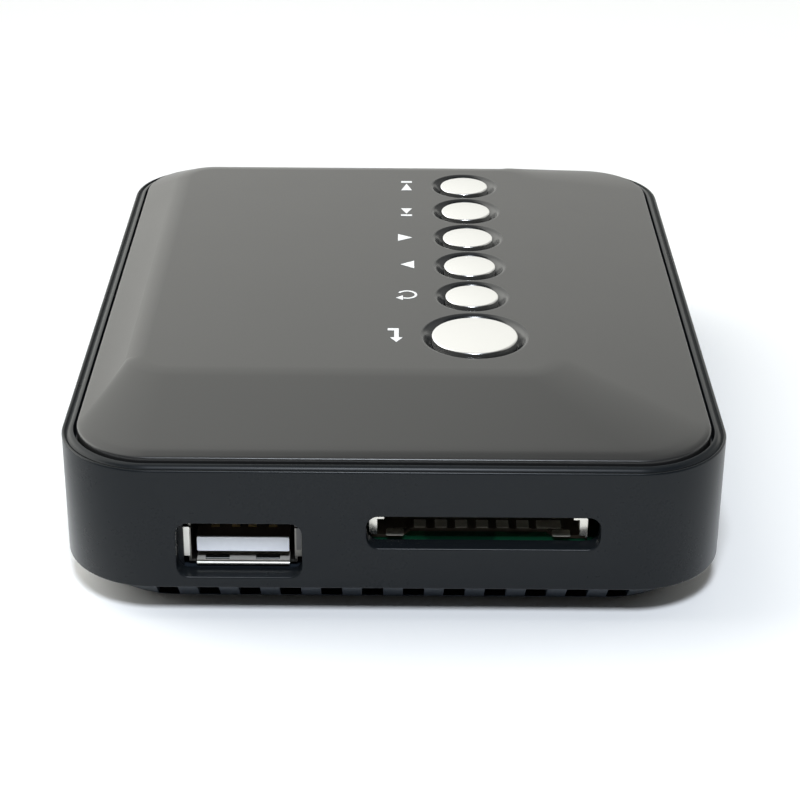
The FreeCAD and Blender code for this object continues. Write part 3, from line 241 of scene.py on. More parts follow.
def carve(target, bm, edge_width=0.2):
    """Cut a bmesh out of a piece and round the edges a little."""
    bmesh.ops.remove_doubles(bm, verts=bm.verts, dist=0.0005)
    bmesh.ops.recalc_face_normals(bm, faces=bm.faces)
    bmesh.ops.scale(bm, vec=(MM, MM, MM), verts=bm.verts)
    mesh = bpy.data.meshes.new("cutter")
    bm.to_mesh(mesh)
    bm.free()
    cutter = bpy.data.objects.new("cutter", mesh)
    bpy.context.scene.collection.objects.link(cutter)
    cut = target.modifiers.new("cut", "BOOLEAN")
    cut.object = cutter
    cut.solver = "EXACT"
    if edge_width:
        soft = target.modifiers.new("soft_edges", "BEVEL")
        soft.width = edge_width * MM
        soft.segments = 3
        soft.angle_limit = math.radians(50)
        soft.use_clamp_overlap = False
    bpy.context.view_layer.update()
    made = bpy.data.meshes.new_from_object(target.evaluated_get(bpy.context.evaluated_depsgraph_get()))
    target.modifiers.clear()
    old = target.data
    target.data = made
    bpy.data.meshes.remove(old)
    bpy.data.objects.remove(cutter)
    made.shade_smooth()
    made.set_sharp_from_angle(angle=math.radians(SHARP))
    print(f"{target.name}: {len(made.polygons)} faces after the cut")


print("pieces can be cut")

# %% [markdown]
# ## The plastics of the case
# The lid is moulded in black ABS from a spark-eroded mould, so it has a very fine, even grain that
# spreads reflections: at a low angle it looks grey.  The grain is a bump of noise a quarter of a
# millimetre across; slow changes of roughness stand for the handling marks that any satin surface has.
# The dishes round the buttons are polished.  The band is smooth and mirrors little, and the bottom is
# the dullest of the four.

# %% Lid, band and bottom finishes
CLOUD_SIZE, CLOUD_DETAIL = 9.0, 3.0
CLOUD_DARK, CLOUD_LIGHT = 0.93, 1.07


def moulded(name, colour, roughness, grain_size, grain_depth, spread=0.04, **plain):
    """Moulded plastic with a fine grain and slow changes of gloss."""
    finish = Finish(name, colour, roughness, **plain)
    cloud = finish.noise(CLOUD_SIZE, CLOUD_DETAIL)
    grain = finish.noise(grain_size)
    finish.set("Base Color", finish.blend(cloud, shade(CLOUD_DARK, colour), shade(CLOUD_LIGHT, colour)))
    finish.set("Roughness", roughness + (cloud - 0.5) * spread + (grain - 0.5) * spread)
    finish.bump(grain, grain_depth)
    return finish.material


lid_plastic = moulded("lid_plastic", (0.018, 0.018, 0.018), 0.30, 0.25, 0.003)
dish_plastic = moulded("dish_plastic", (0.014, 0.015, 0.016), 0.20, 0.8, 0.0006, spread=0.02)
band_plastic = moulded("band_plastic", (0.008, 0.010, 0.012), 0.28, 0.5, 0.0004, spread=0.03,
                       Specular_Ior_Level=0.18)
bottom_plastic = moulded("bottom_plastic", (0.014, 0.019, 0.026), 0.42, 0.3, 0.002,
                         Specular_Ior_Level=0.30)
print("plastics:", lid_plastic.name, dish_plastic.name, band_plastic.name, bottom_plastic.name)

# %% [markdown]
# ## Silver paint on the buttons
# The caps are moulded and sprayed with a pale silver paint: tiny flakes under a clear film.  The flakes
# are noise a tenth of a millimetre across that changes the brightness a little and tips the surface: a
# painted image of flakes would do too, but noise has no seams and needs no unwrapping.
# The signs beside the buttons are white ink, which covers the black lid a little unevenly.

# %% Button paint and printing ink
FLAKE_SIZE, FLAKE_DEPTH = 0.12, 0.0006
FLAKE_DARK, FLAKE_LIGHT = (0.67, 0.67, 0.665), (0.75, 0.75, 0.745)
INK_SPOT = 0.15
INK_THIN, INK_THICK = (0.70, 0.70, 0.70), (0.92, 0.92, 0.92)


def silver_paint():
    """Pale silver paint, smoother where a flake lies flat."""
    finish = Finish("cap_silver", FLAKE_DARK, 0.24, metallic=1.0)
    flakes = finish.noise(FLAKE_SIZE, 1.0)
    finish.set("Base Color", finish.blend(flakes, FLAKE_DARK, FLAKE_LIGHT))
    finish.set("Roughness", 0.20 + flakes * 0.08)
    finish.bump(flakes, FLAKE_DEPTH)
    return finish.material


def printing_ink():
    """White ink that covers a little unevenly."""
    finish = Finish("sign_ink", INK_THICK, 0.55)
    finish.set("Base Color", finish.blend(finish.noise(INK_SPOT, 3.0), INK_THIN, INK_THICK))
    return finish.material


cap_silver = silver_paint()
sign_ink = printing_ink()
print("paints:", cap_silver.name, sign_ink.name)

# %% [markdown]
# ## Metals, boards and inner plastics
# The sockets are folded from nickel-plated sheet, whose rolling leaves faint lines one way.  Contacts
# are gold-plated, boards are green with a fibre weave under the mask, and chips are matt epoxy.  Little
# light reaches the inside of the two front sockets, so five pieces there are painted darker than their own
# finishes, a painted shade.

# %% Metals and the rest
LINE_SIZE, LINE_DEPTH, LINE_SPREAD = 0.4, 0.0015, 0.14
DULL_SIZE, DULL_SHADE = 3.0, 0.86


def plated(name, colour, roughness, lines=(1, 1, 1)):
    """Plated metal with faint rolling lines and a few dull clouds."""
    finish = Finish(name, colour, roughness, metallic=1.0)
    streaks = finish.noise(LINE_SIZE, stretch=lines)
    finish.set("Base Color", finish.blend(finish.noise(DULL_SIZE), shade(DULL_SHADE, colour), colour))
    finish.set("Roughness", roughness + (streaks - 0.5) * LINE_SPREAD)
    finish.bump(streaks, LINE_DEPTH)
    return finish.material


def speckled(name, colour, roughness, size, contrast=0.1, depth=0.002, metallic=0.0):
    """A plain material with fine spots in its colour and surface."""
    finish = Finish(name, colour, roughness, metallic)
    spots = finish.noise(size, 3.0)
    finish.set("Base Color", finish.blend(spots, shade(1 - contrast, colour), shade(1 + contrast, colour)))
    finish.set("Roughness", roughness + (spots - 0.5) * 0.1)
    finish.bump(spots, depth)
    return finish.material


WEAVE_SIZE, WEAVE_DEPTH = 2.2, 0.004
COPPER_SIZE = 7.0
MASK_DARK, MASK_LIGHT = (0.009, 0.085, 0.045), (0.018, 0.18, 0.085)


def board_mask():
    """Green solder mask over a woven glass core, with copper areas that show as lighter patches."""
    finish = Finish("board_green", MASK_DARK, 0.28)
    threads = [finish.node("ShaderNodeTexWave", {"wave_type": "BANDS", "bands_direction": way},
                           {"Vector": finish.place, "Scale": 1 / (WEAVE_SIZE * MM), "Distortion": 0.6})
               for way in "XY"]
    copper = finish.node("ShaderNodeValToRGB", {"stops": [(0.46, (0, 0, 0, 1)), (0.5, (1, 1, 1, 1))]},
                         {"Fac": finish.noise(COPPER_SIZE, 1.0)})
    finish.set("Base Color", finish.blend(copper, MASK_DARK, MASK_LIGHT))
    finish.bump(threads[0] * threads[1], WEAVE_DEPTH)
    return finish.material


FINISHES = {
    "lid_plastic": lid_plastic,
    "band_plastic": band_plastic,
    "bottom_plastic": bottom_plastic,
    "foot_rubber": speckled("foot_rubber", (0.025, 0.025, 0.026), 0.8, 0.4, 0.2, 0.01),
    "cap_silver": cap_silver,
    "plunger_plastic": speckled("plunger_plastic", (0.05, 0.05, 0.05), 0.5, 0.3),
    "switch_plastic": speckled("switch_plastic", (0.04, 0.04, 0.04), 0.5, 0.3),
    "board_green": board_mask(),
    "black_screw": plated("black_screw", (0.06, 0.06, 0.065), 0.35),
    "steel_screw": plated("steel_screw", (0.62, 0.62, 0.60), 0.28),
    "socket_steel": plated("socket_steel", (0.74, 0.72, 0.66), 0.24, (1, 0.08, 1)),
    "white_plastic": speckled("white_plastic", (0.83, 0.86, 0.92), 0.35, 0.6, 0.03, 0.001),
    "contact_gold": plated("contact_gold", (0.86, 0.62, 0.26), 0.26, (1, 0.1, 1)),
    "tinned_metal": plated("tinned_metal", (0.72, 0.72, 0.71), 0.3),
    "socket_plastic": speckled("socket_plastic", (0.02, 0.02, 0.021), 0.45, 0.3),
    "sink_aluminium": plated("sink_aluminium", (0.62, 0.62, 0.63), 0.35, (1, 0.05, 1)),
    "pad_silicone": speckled("pad_silicone", (0.36, 0.42, 0.5), 0.7, 0.5),
    "can_aluminium": plated("can_aluminium", (0.75, 0.75, 0.75), 0.25, (1, 1, 0.1)),
    "ferrite": speckled("ferrite", (0.08, 0.08, 0.085), 0.6, 0.2, 0.2),
    "ceramic": speckled("ceramic", (0.36, 0.27, 0.18), 0.5, 0.3),
    "chip_epoxy": speckled("chip_epoxy", (0.022, 0.022, 0.023), 0.6, 0.15, 0.2),
}
print(len(FINISHES), "finishes")

# %% Give every piece of the construction model its finish
for part in frame["record"]["subparts"]:
    for slot in frame["nodes"][part["node"]].material_slots:
        slot.material = FINISHES[part["material_slot"]]
# Painted shade: darker copies of the finishes of five pieces inside the front sockets stand in for the
# shade there.
PAINTED_SHADE_FINISH = {"sd_contacts": speckled("pads_painted_shade", (0.13, 0.11, 0.08), 0.5, 0.3),
              "usb_shell": plated("shell_painted_shade", (0.20, 0.195, 0.18), 0.35, (1, 0.08, 1)),
              "sd_base": speckled("card_base_painted_shade", (0.11, 0.09, 0.065), 0.5, 0.3),
              "usb_contacts": speckled("gold_painted_shade", (0.60, 0.43, 0.20), 0.45, 0.3, metallic=0.4),
              "usb_tongue": speckled("tongue_painted_shade", (0.10, 0.07, 0.055), 0.5, 0.3)}
for node, finish in PAINTED_SHADE_FINISH.items():
    frame["nodes"][node].material_slots[0].material = finish

# %% [markdown]
# ## Working with rings
# Lid and band are both a rounded rectangle that changes its size from level to level.  One way would be
# to round a cube again and again; here each level is drawn as a ring, a square face whose four corners
# are bevelled, and neighbouring rings are bridged.  All rings have the same number of corners, so the
# bridges are clean strips.  The work is done in millimetres and scaled to metres at the very end.

# %% Rings and bridges
CORNER_STEPS = 20


def ring(bm, left, right, front, back, corner, z):
    """A level rounded rectangle as one face."""
    before = set(bm.faces)
    corners = bmesh.ops.create_grid(bm, x_segments=1, y_segments=1, size=0.5)["verts"]
    bmesh.ops.scale(bm, vec=(right - left, back - front, 1), verts=corners)
    middle = ((left + right) / 2, (front + back) / 2, z)
    bmesh.ops.translate(bm, vec=middle, verts=corners)
    bmesh.ops.bevel(bm, geom=corners, affect="VERTICES", offset=corner, segments=CORNER_STEPS,
                    profile=0.5, material=-1)
    return next(face for face in bm.faces if face not in before)


def bridge(bm, low, high):
    """Join the outlines of two faces with a strip."""
    return bmesh.ops.bridge_loops(bm, edges=list(low.edges) + list(high.edges))["faces"]


def drop(bm, faces):
    """Remove faces but keep their edges."""
    bmesh.ops.delete(bm, geom=list(faces), context="FACES_ONLY")


print("rings have", 4 * (CORNER_STEPS + 1), "corners")

# %% Turn a finished bmesh into a piece
def piece(name, bm, material, body="case", replaces=(), sharp=SHARP):
    """Scale to metres, close, smooth and hang on its body."""
    bmesh.ops.remove_doubles(bm, verts=bm.verts, dist=0.0005)
    bmesh.ops.recalc_face_normals(bm, faces=bm.faces)
    bmesh.ops.scale(bm, vec=(MM, MM, MM), verts=bm.verts)
    open_edges = sum(not edge.is_manifold for edge in bm.edges)
    mesh = bpy.data.meshes.new(name)
    bm.to_mesh(mesh)
    bm.free()
    mesh.shade_smooth()
    mesh.set_sharp_from_angle(angle=math.radians(sharp))
    made = bpy.data.objects.new(name, mesh)
    bpy.context.scene.collection.objects.link(made)
    for each in material if isinstance(material, list) else [material]:
        mesh.materials.append(each)
    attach(made, body)
    if replaces:
        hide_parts(*replaces)
    print(f"{name}: {len(mesh.polygons)} faces, {open_edges} open edges")
    return made


def box_mm(node):
    """A construction piece's lowest and highest corner in millimetres."""
    low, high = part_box(node)
    return low / MM, high / MM


band_low, band_high = box_mm("side_band")
rim = band_high.z
flat_top = box_mm("top_cover")[1].z
print("rim at", round(rim, 2), "mm and flat top at", round(flat_top, 2), "mm")

# %% [markdown]
# ## The lid
# The flat top is a rectangle that lies off-centre, and the slopes run from it to the rounded edge, so
# each corner is a patch of a cone.  Bridging the outlines from level to level gives just that: close
# levels round the edge, and a bevel softens the ridge as the mould does.  Round each button the lid dips
# in a polished dish, cut with a turned shape that has the dish and the button's hole in its profile.

# %% Lid: levels and outlines
CASE_CORNER = 11.5
LID_INSET = 1.85
LID_BORDER = 1.6
LID_WALL = 1.8
LIP_INSET = 3.75
CEILING_INSET = 0.9
FLAT = {"left": 7.5, "right": 19.55, "front": 20.7, "back": 7.3}
FLAT_CORNER = 4.75
RIDGE_WIDTH = 1.2
RIDGE_STEPS = 8
SLOPE_CUTS = 16
SLOPE_RISE = 1.0
ledge = rim - LID_BORDER


def case_ring(bm, inset, z):
    """The case's outline drawn in by inset."""
    return ring(bm, band_low.x + inset, band_high.x - inset, band_low.y + inset, band_high.y - inset,
                CASE_CORNER - inset, z)


def lid_ring(bm, insets, corner, z):
    """A level outline of the lid, with its own inset on each side."""
    return ring(bm, band_low.x + insets["left"], band_high.x - insets["right"],
                band_low.y + insets["front"], band_high.y - insets["back"], corner, z)


print("ledge at", round(ledge, 2), "mm")

# %% Lid: the edge's rounding
EDGE = [(-0.06, 0.0, 0.0), (0.25, 0.01, 0.0), (0.48, 0.04, 0.01), (0.58, 0.08, 0.03), (0.64, 0.13, 0.05),
        (0.69, 0.21, 0.08), (0.73, 0.32, 0.12), (0.77, 0.45, 0.18), (0.81, 0.60, 0.24)]
BLEND = [(0.88, 0.86), (0.945, 1.12), (1.005, 1.40), (1.06, 1.75)]
edge_top = rim + EDGE[-1][0]


def slope_share(z):
    """How far up the slope a level is, from 0 at the edge to 1 at the flat top."""
    return (z - edge_top) / (flat_top - edge_top)


def lid_levels():
    """Insets, corner and height of each outline from the wall up to the flat top."""
    levels = []
    for rise, front, side in EDGE:
        insets = {"left": LID_INSET + side, "right": LID_INSET + side, "front": LID_INSET + front,
                  "back": LID_INSET + side}
        levels.append((insets, CASE_CORNER - LID_INSET - (front + side) / 2, rim + rise))
    edge_insets, edge_corner, _ = levels[-1]
    for rise, front in BLEND:
        share = slope_share(rim + rise)
        insets = {side: edge + share * (FLAT[side] - edge) for side, edge in edge_insets.items()}
        insets["front"] = LID_INSET + front
        levels.append((insets, edge_corner + share * (FLAT_CORNER - edge_corner), rim + rise))
    levels.append((FLAT, FLAT_CORNER, flat_top))
    return levels


print("edge rises", EDGE[-1][0], "mm above the rim, in", len(lid_levels()), "outlines")

# %% Lid: bevelled block with a hollow
bm = bmesh.new()
foot, inner_foot = case_ring(bm, LID_INSET, ledge), case_ring(bm, LIP_INSET, ledge)
outlines = [foot] + [lid_ring(bm, *level) for level in lid_levels()]
for low, high in zip(outlines, outlines[1:]):
    bridge(bm, low, high)
flat = outlines[-1]
ceiling = lid_ring(bm, {side: inset + CEILING_INSET for side, inset in FLAT.items()}, FLAT_CORNER,
                   flat_top - LID_WALL)
bridge(bm, foot, inner_foot)
bridge(bm, inner_foot, ceiling)
ridge_edges = list(flat.edges)
drop(bm, outlines[:-1] + [inner_foot])
bmesh.ops.bevel(bm, geom=ridge_edges, affect="EDGES", offset=RIDGE_WIDTH, segments=RIDGE_STEPS,
                profile=0.5, material=-1)
sloping = [edge for edge in bm.edges if abs(edge.verts[0].co.z - edge.verts[1].co.z) > SLOPE_RISE
           and min(vert.co.z for vert in edge.verts) > rim]
bmesh.ops.subdivide_edges(bm, edges=sloping, cuts=SLOPE_CUTS)
print("lid block:", len(bm.faces), "faces")

# %% Lid: dishes round the buttons
CAP_FLANGE = 0.35
CAP_GAP = 0.15
DISH = [(1.58, 0.010), (1.42, -0.012), (1.33, -0.04), (1.24, -0.08), (1.15, -0.14), (1.06, -0.21),
        (0.97, -0.30), (0.86, -0.43), (0.72, -0.60), (0.56, -0.80), (0.38, -1.00), (0.24, -1.14),
        (CAP_GAP, -1.22)]


def cap_place(key):
    """A button's middle and the radius of its cap."""
    low, high = box_mm("button_" + key)
    return (low.x + high.x) / 2, (low.y + high.y) / 2, (high.x - low.x) / 2 - CAP_FLANGE


lid = piece("lid", bm, [lid_plastic, dish_plastic], replaces=["top_cover"])
bm = bmesh.new()
for key in KEYS:
    x, y, radius = cap_place(key)
    section = [(0.0, flat_top + OVERCUT), (radius + DISH[0][0], flat_top + OVERCUT)]
    section += [(radius + reach, flat_top + depth) for reach, depth in DISH]
    section += [(radius + CAP_GAP, flat_top - LID_WALL - OVERCUT), (0.0, flat_top - LID_WALL - OVERCUT)]
    turned(bm, section, x, y)
for face in bm.faces:
    face.material_index = 1
carve(lid, bm, 0)
LEVEL_FACE = 0.99999
for face in lid.data.polygons:
    if abs(face.normal.z) > LEVEL_FACE:
        face.use_smooth = False

# %% [markdown]
# ## The band
# The band is one closed profile carried round the case: outer wall, rounded rim, the ledge that the lid
# sits on and the inner wall.  A hollowed block would need each of its roundings bevelled in turn; a
# profile holds them all.  Its rings are bridged one after the other and the last one to the first.
# The sockets' openings are cut with rounded blocks, and a narrow bevel takes the sharpness off.

# %% Band: profile
BAND_WALL = 2.4
RIM_IN = 1.45
RIM_PROFILE = [(0.0, -0.30), (0.02, -0.22), (0.06, -0.15), (0.12, -0.09), (0.19, -0.06), (0.34, -0.06),
               (0.40, -0.14), (0.42, -0.28), (0.47, -0.30), (0.58, -0.245), (0.68, -0.175), (0.77, -0.105),
               (0.85, -0.03), (0.94, 0.053), (1.04, 0.115), (1.20, 0.17), (1.36, 0.205), (1.42, 0.19),
               (RIM_IN, 0.13)]
bm = bmesh.new()
profile = [(0.0, band_low.z)] + [(inset, rim + rise) for inset, rise in RIM_PROFILE]
profile += [(RIM_IN, ledge), (BAND_WALL, ledge), (BAND_WALL, band_low.z)]
rings = [case_ring(bm, inset, z) for inset, z in profile]
for low, high in zip(rings, rings[1:] + rings[:1]):
    bridge(bm, low, high)
drop(bm, rings)
band = piece("band", bm, band_plastic, replaces=["side_band"], sharp=40)

# %% Band: openings
usb_low, usb_high = box_mm("usb_shell")
card_low, card_high = box_mm("sd_cover")
video_low, video_high = box_mm("hdmi_shell")
sound_low, sound_high = box_mm("av_jack")
power_low, power_high = box_mm("dc_jack")
PORT_CORNER = 1.5
USB_PORT = {"width": 15.0, "low": 5.9, "high": 13.2, "shift": -0.3}
CARD_PORT = {"width": 27.8, "low": 10.0, "high": 14.3, "shift": 0.5}
REAR_GAP = 0.4
VIDEO_CORNER = 0.8
SOUND_NOSE, POWER_NOSE = 3.0, 3.3
usb_x = (usb_low.x + usb_high.x) / 2
card_x = (card_low.x + card_high.x) / 2
bm = bmesh.new()
for port, middle in ((USB_PORT, usb_x), (CARD_PORT, card_x)):
    middle += port["shift"]
    block(bm, middle - port["width"] / 2, middle + port["width"] / 2, band_low.y - OVERCUT,
          band_low.y + BAND_WALL + OVERCUT, port["low"], port["high"], PORT_CORNER)
rear = (band_high.y - BAND_WALL - OVERCUT, band_high.y + OVERCUT)
block(bm, video_low.x - REAR_GAP, video_high.x + REAR_GAP, *rear, video_low.z - REAR_GAP,
      video_high.z + REAR_GAP, VIDEO_CORNER)
for low, high, nose in ((sound_low, sound_high, SOUND_NOSE), (power_low, power_high, POWER_NOSE)):
    rod(bm, (low.x + high.x) / 2, (low.z + high.z) / 2, *rear, nose + REAR_GAP)
carve(band, bm)

# %% [markdown]
# ## Front sockets
# The card socket's cover is thin folded sheet.  Its front edge is cut back in the middle so that a card
# is easy to grip, which leaves an ear at each side; below them the arms of its frame end in plates, and the
# contact pads lie in a row between, both painted brighter than their metal: painted light.  In the USB
# socket there are the white nose of the tongue, the sheet under it with two springs, a flared lip below and
# a tab at each side; the lip and the left tab are painted brighter than their steel (painted highlight),
# the sheet is painted pale (painted light), and the springs and the right tab are painted dark (painted
# shade).  A plate behind the band's wall closes the gap beside the shell.  All of them are blocks with
# rounded edges, so tables hold them.

# %% Finishes of the thin sheets
sheet_steel = FINISHES["socket_steel"]
# Painted highlight: a rougher copy of the socket steel for the USB lip and left tab, painted brighter than
# the steel.
painted_highlight_metal = plated("painted_highlight_metal", (0.88, 0.87, 0.82), 0.5)
# Painted light: a matt, pale copy of the steel for the sheet under the USB tongue, so it shows lit.
painted_light_sheet = speckled("painted_light_sheet", (0.46, 0.44, 0.41), 0.45, 0.4, 0.05, metallic=0.2)
# Painted light: a matt copy of the metal for the card socket's arm plates and pads, painted brighter than
# it.
painted_light_plate = speckled("painted_light_plate", (0.78, 0.75, 0.65), 0.45, 0.4, 0.1, metallic=0.3)
# Painted shade: a dark copy of the steel for the USB springs and the right tab.
painted_shade_metal = plated("painted_shade_metal", (0.10, 0.10, 0.10), 0.35)
print("sheets:", painted_highlight_metal.name, painted_light_sheet.name, painted_light_plate.name, painted_shade_metal.name)

# %% Card socket cover
SHEET = 0.25
COVER_CORNER = 0.2
NOTCH = {"left": -1.13, "right": 21.6, "deep": 2.2, "corner": 0.6}
bm = bmesh.new()
block(bm, card_low.x, card_high.x, card_low.y, card_high.y, card_low.z, card_high.z, COVER_CORNER)
card_cover = piece("card_cover", bm, sheet_steel, replaces=["sd_cover"])
bm = bmesh.new()
block(bm, card_low.x + SHEET, card_high.x - SHEET, card_low.y - OVERCUT, card_high.y + OVERCUT,
      card_low.z - OVERCUT, card_high.z - SHEET)
carve(card_cover, bm, 0)
bm = bmesh.new()
block(bm, NOTCH["left"], NOTCH["right"], card_low.y - OVERCUT, card_low.y + NOTCH["deep"],
      card_high.z - OVERCUT, card_high.z + OVERCUT, NOTCH["corner"], along="Z")
carve(card_cover, bm, 0)

# %% Rows of small blocks
def blocks(name, spans, front, back, low, high, corner, along, finish, slot):
    """Blocks side by side as one piece, from the left and right end of each."""
    bm = bmesh.new()
    for left, right in spans:
        block(bm, left, right, front, back, low, high, corner, along)
    return piece(name, bm, finish)


print("rows of blocks can be made")

# %% Card socket: ears, arm plates and pads
EARS = {"spans": [(-2.75, -1.95), (22.35, 23.25)], "low": 10.4, "inset": 0.02, "tuck": 0.1, "corner": 0.08}
ARMS = {"spans": [(-0.9, 1.3), (19.1, 21.3)], "low": 10.31, "thick": 0.06, "reach": 0.12, "back": 1.5,
        "corner": 0.3}
PADS = {"middles": [3.2, 5.75, 8.2, 10.75, 13.2, 15.65, 18.8], "widths": [1.5] * 6 + [3.0], "sink": 0.02,
        "rise": 0.06, "reach": 0.02, "back": 1.8, "corner": 0.15}
pad_low, pad_high = box_mm("sd_contacts")
pad_spans = [(middle - width / 2, middle + width / 2)
             for middle, width in zip(PADS["middles"], PADS["widths"])]
blocks("card_ears", EARS["spans"], card_low.y + EARS["inset"], card_low.y + SHEET, EARS["low"],
       card_high.z - EARS["tuck"], EARS["corner"], "Y", sheet_steel, "socket_steel")
blocks("card_arm_plates", ARMS["spans"], card_low.y - ARMS["reach"], card_low.y + ARMS["back"], ARMS["low"],
       ARMS["low"] + ARMS["thick"], ARMS["corner"], "Z", painted_light_plate, "socket_steel")
blocks("card_pads", pad_spans, pad_low.y - PADS["reach"], pad_low.y + PADS["back"],
       pad_high.z - PADS["sink"], pad_high.z + PADS["rise"], PADS["corner"], "Z", painted_light_plate, "contact_gold")

# %% USB socket: nose, sheet, lip, tabs and springs
LIP_LEFT, LIP_RIGHT, NOSE_GAP = -23.7, -12.5, 0.05
lip_span = [(LIP_LEFT, LIP_RIGHT)]
nose_span = [(LIP_LEFT + NOSE_GAP, LIP_RIGHT - NOSE_GAP)]
wall_inside = band_low.y + BAND_WALL - usb_low.y
USB_SHEETS = {
    "usb_nose": {"spans": nose_span, "deep": (0.3, 0.55), "levels": (7.9, 9.82), "round": (0.12, "Y"),
                 "finish": FINISHES["white_plastic"], "slot": "white_plastic"},
    "usb_sheet": {"spans": lip_span, "deep": (0.05, 2.5), "levels": (6.78, 6.86), "round": (0.03, "Y"),
                  "finish": painted_light_sheet, "slot": "socket_steel"},
    "usb_lip": {"spans": lip_span, "deep": (-0.2, 0.5), "levels": (6.25, 6.62), "round": (0.17, "X"),
                "finish": painted_highlight_metal, "slot": "socket_steel"},
    "usb_recess": {"spans": [(-26.5, -25.25)], "deep": (wall_inside + 0.02, wall_inside + 0.12),
                   "levels": (5.5, 13.6), "round": (0.1, "Y"), "finish": band_plastic,
                   "slot": "band_plastic"},
    "usb_tab_left": {"spans": [(-25.2, -24.5)], "deep": (-0.05, 0.2), "levels": (7.4, 11.4),
                     "round": (0.1, "Y"), "finish": painted_highlight_metal, "slot": "socket_steel"},
    "usb_tab_right": {"spans": [(-11.65, -11.05)], "deep": (-0.05, 0.2), "levels": (8.3, 11.3),
                      "round": (0.1, "Y"), "finish": painted_shade_metal, "slot": "socket_steel"},
    "usb_springs": {"spans": [(-22.67, -19.77), (-16.6, -13.7)], "deep": (0.1, 1.0),
                    "levels": (6.8, 7.05), "round": (0.12, "X"), "finish": painted_shade_metal,
                    "slot": "socket_steel"},
}
for name, each in USB_SHEETS.items():
    front, back = (usb_low.y + depth for depth in each["deep"])
    blocks(name, each["spans"], front, back, *each["levels"], *each["round"], each["finish"], each["slot"])

# %% [markdown]
# ## The buttons
# A cap is a turned shape: a gently domed face, a soft edge, a side, a flange under the lid and a hollow
# with a post in it.  A bevelled cylinder would give the outside alone.  A half section, drawn once as a
# line and spun round the cap's own axis, gives the dome and the hollow as well.

# %% Button caps
CAP_ROUND = 0.18
CAP_CROWN = 0.14
CAP_ROOF = 1.3
CAP_WALL = 0.9
CAP_POST = 1.3
FLANGE_LEVELS = (0.3, 1.1)
FACE_SHARES = (0.0, 0.25, 0.45, 0.62, 0.76, 0.88, 0.95)
ROUND_START, ROUND_SWEEP, ROUND_STEPS = 4, 86, 6


def cap_section(radius, low, high):
    """Half section of a cap, from the middle of its face round to the foot of its post."""
    flange_low, flange_high = (low + level for level in FLANGE_LEVELS)
    edge = radius - CAP_ROUND
    hollow = radius - CAP_WALL
    roof = high - CAP_ROOF
    points = [(share * edge, high - CAP_CROWN * share ** 2) for share in FACE_SHARES]
    for step in range(ROUND_STEPS + 1):
        turn = math.radians(ROUND_START + ROUND_SWEEP * step / ROUND_STEPS)
        points.append((edge + CAP_ROUND * math.sin(turn),
                       high - CAP_CROWN - CAP_ROUND * (1 - math.cos(turn))))
    points += [(radius, flange_high), (radius + CAP_FLANGE, flange_high), (radius + CAP_FLANGE, flange_low),
               (hollow, flange_low), (hollow, roof), (CAP_POST, roof), (CAP_POST, low), (0.0, low)]
    return points


for key in KEYS:
    x, y, radius = cap_place(key)
    low, high = box_mm("button_" + key)
    bm = bmesh.new()
    turned(bm, cap_section(radius, low.z, high.z), x, y)
    piece("cap_" + key, bm, cap_silver, body=key + "_button",
          replaces=["button_" + key], sharp=50)

# %% [markdown]
# ## Printed signs
# Beside each button a small white sign is screen-printed on the lid: arrows, a turning arrow and a bent
# arrow.  They could be painted into the lid's colour, but their edges would blur close up.  Ink stands a
# few hundredths of a millimetre proud, so each sign is a thin plate on the lid.

# %% Plates and arcs of ink
INK = 0.03
TIP_SHARE = 1.6


def raise_ink(bm, faces):
    """Give flat faces the thickness of the ink."""
    raised = bmesh.ops.extrude_face_region(bm, geom=faces)["geom"]
    moved = [item for item in raised if isinstance(item, bmesh.types.BMVert)]
    bmesh.ops.translate(bm, vec=(0, 0, INK), verts=moved)


def plate(bm, corners):
    """A thin flat plate from its corner points."""
    raise_ink(bm, [bm.faces.new([bm.verts.new((x, y, flat_top)) for x, y in corners])])


def arc(bm, x, y, radius, width, start, sweep, steps=20):
    """Part of a ring, as a plate."""
    first = Vector((math.cos(start), math.sin(start), 0))
    middle = Vector((x, y, flat_top))
    inner = bm.verts.new(middle + first * (radius - width / 2))
    outer = bm.verts.new(middle + first * (radius + width / 2))
    edge = bm.edges.new((inner, outer))
    before = set(bm.faces)
    bmesh.ops.spin(bm, geom=[inner, outer, edge], cent=middle, axis=(0, 0, 1), angle=sweep, steps=steps)
    raise_ink(bm, [face for face in bm.faces if face not in before])


def skip_arrow(bm, x, start, end, width, bar_deep):
    """An arrow along Y from start to end, with a bar across its tip."""
    way = 1 if end > start else -1
    left, right = x - width / 2, x + width / 2
    front, back = sorted((end - way * bar_deep, end))
    plate(bm, [(left, start), (x, end - way * bar_deep * TIP_SHARE), (right, start)][::way])
    plate(bm, [(left, front), (right, front), (right, back), (left, back)])


print("ink is", INK, "mm thick")

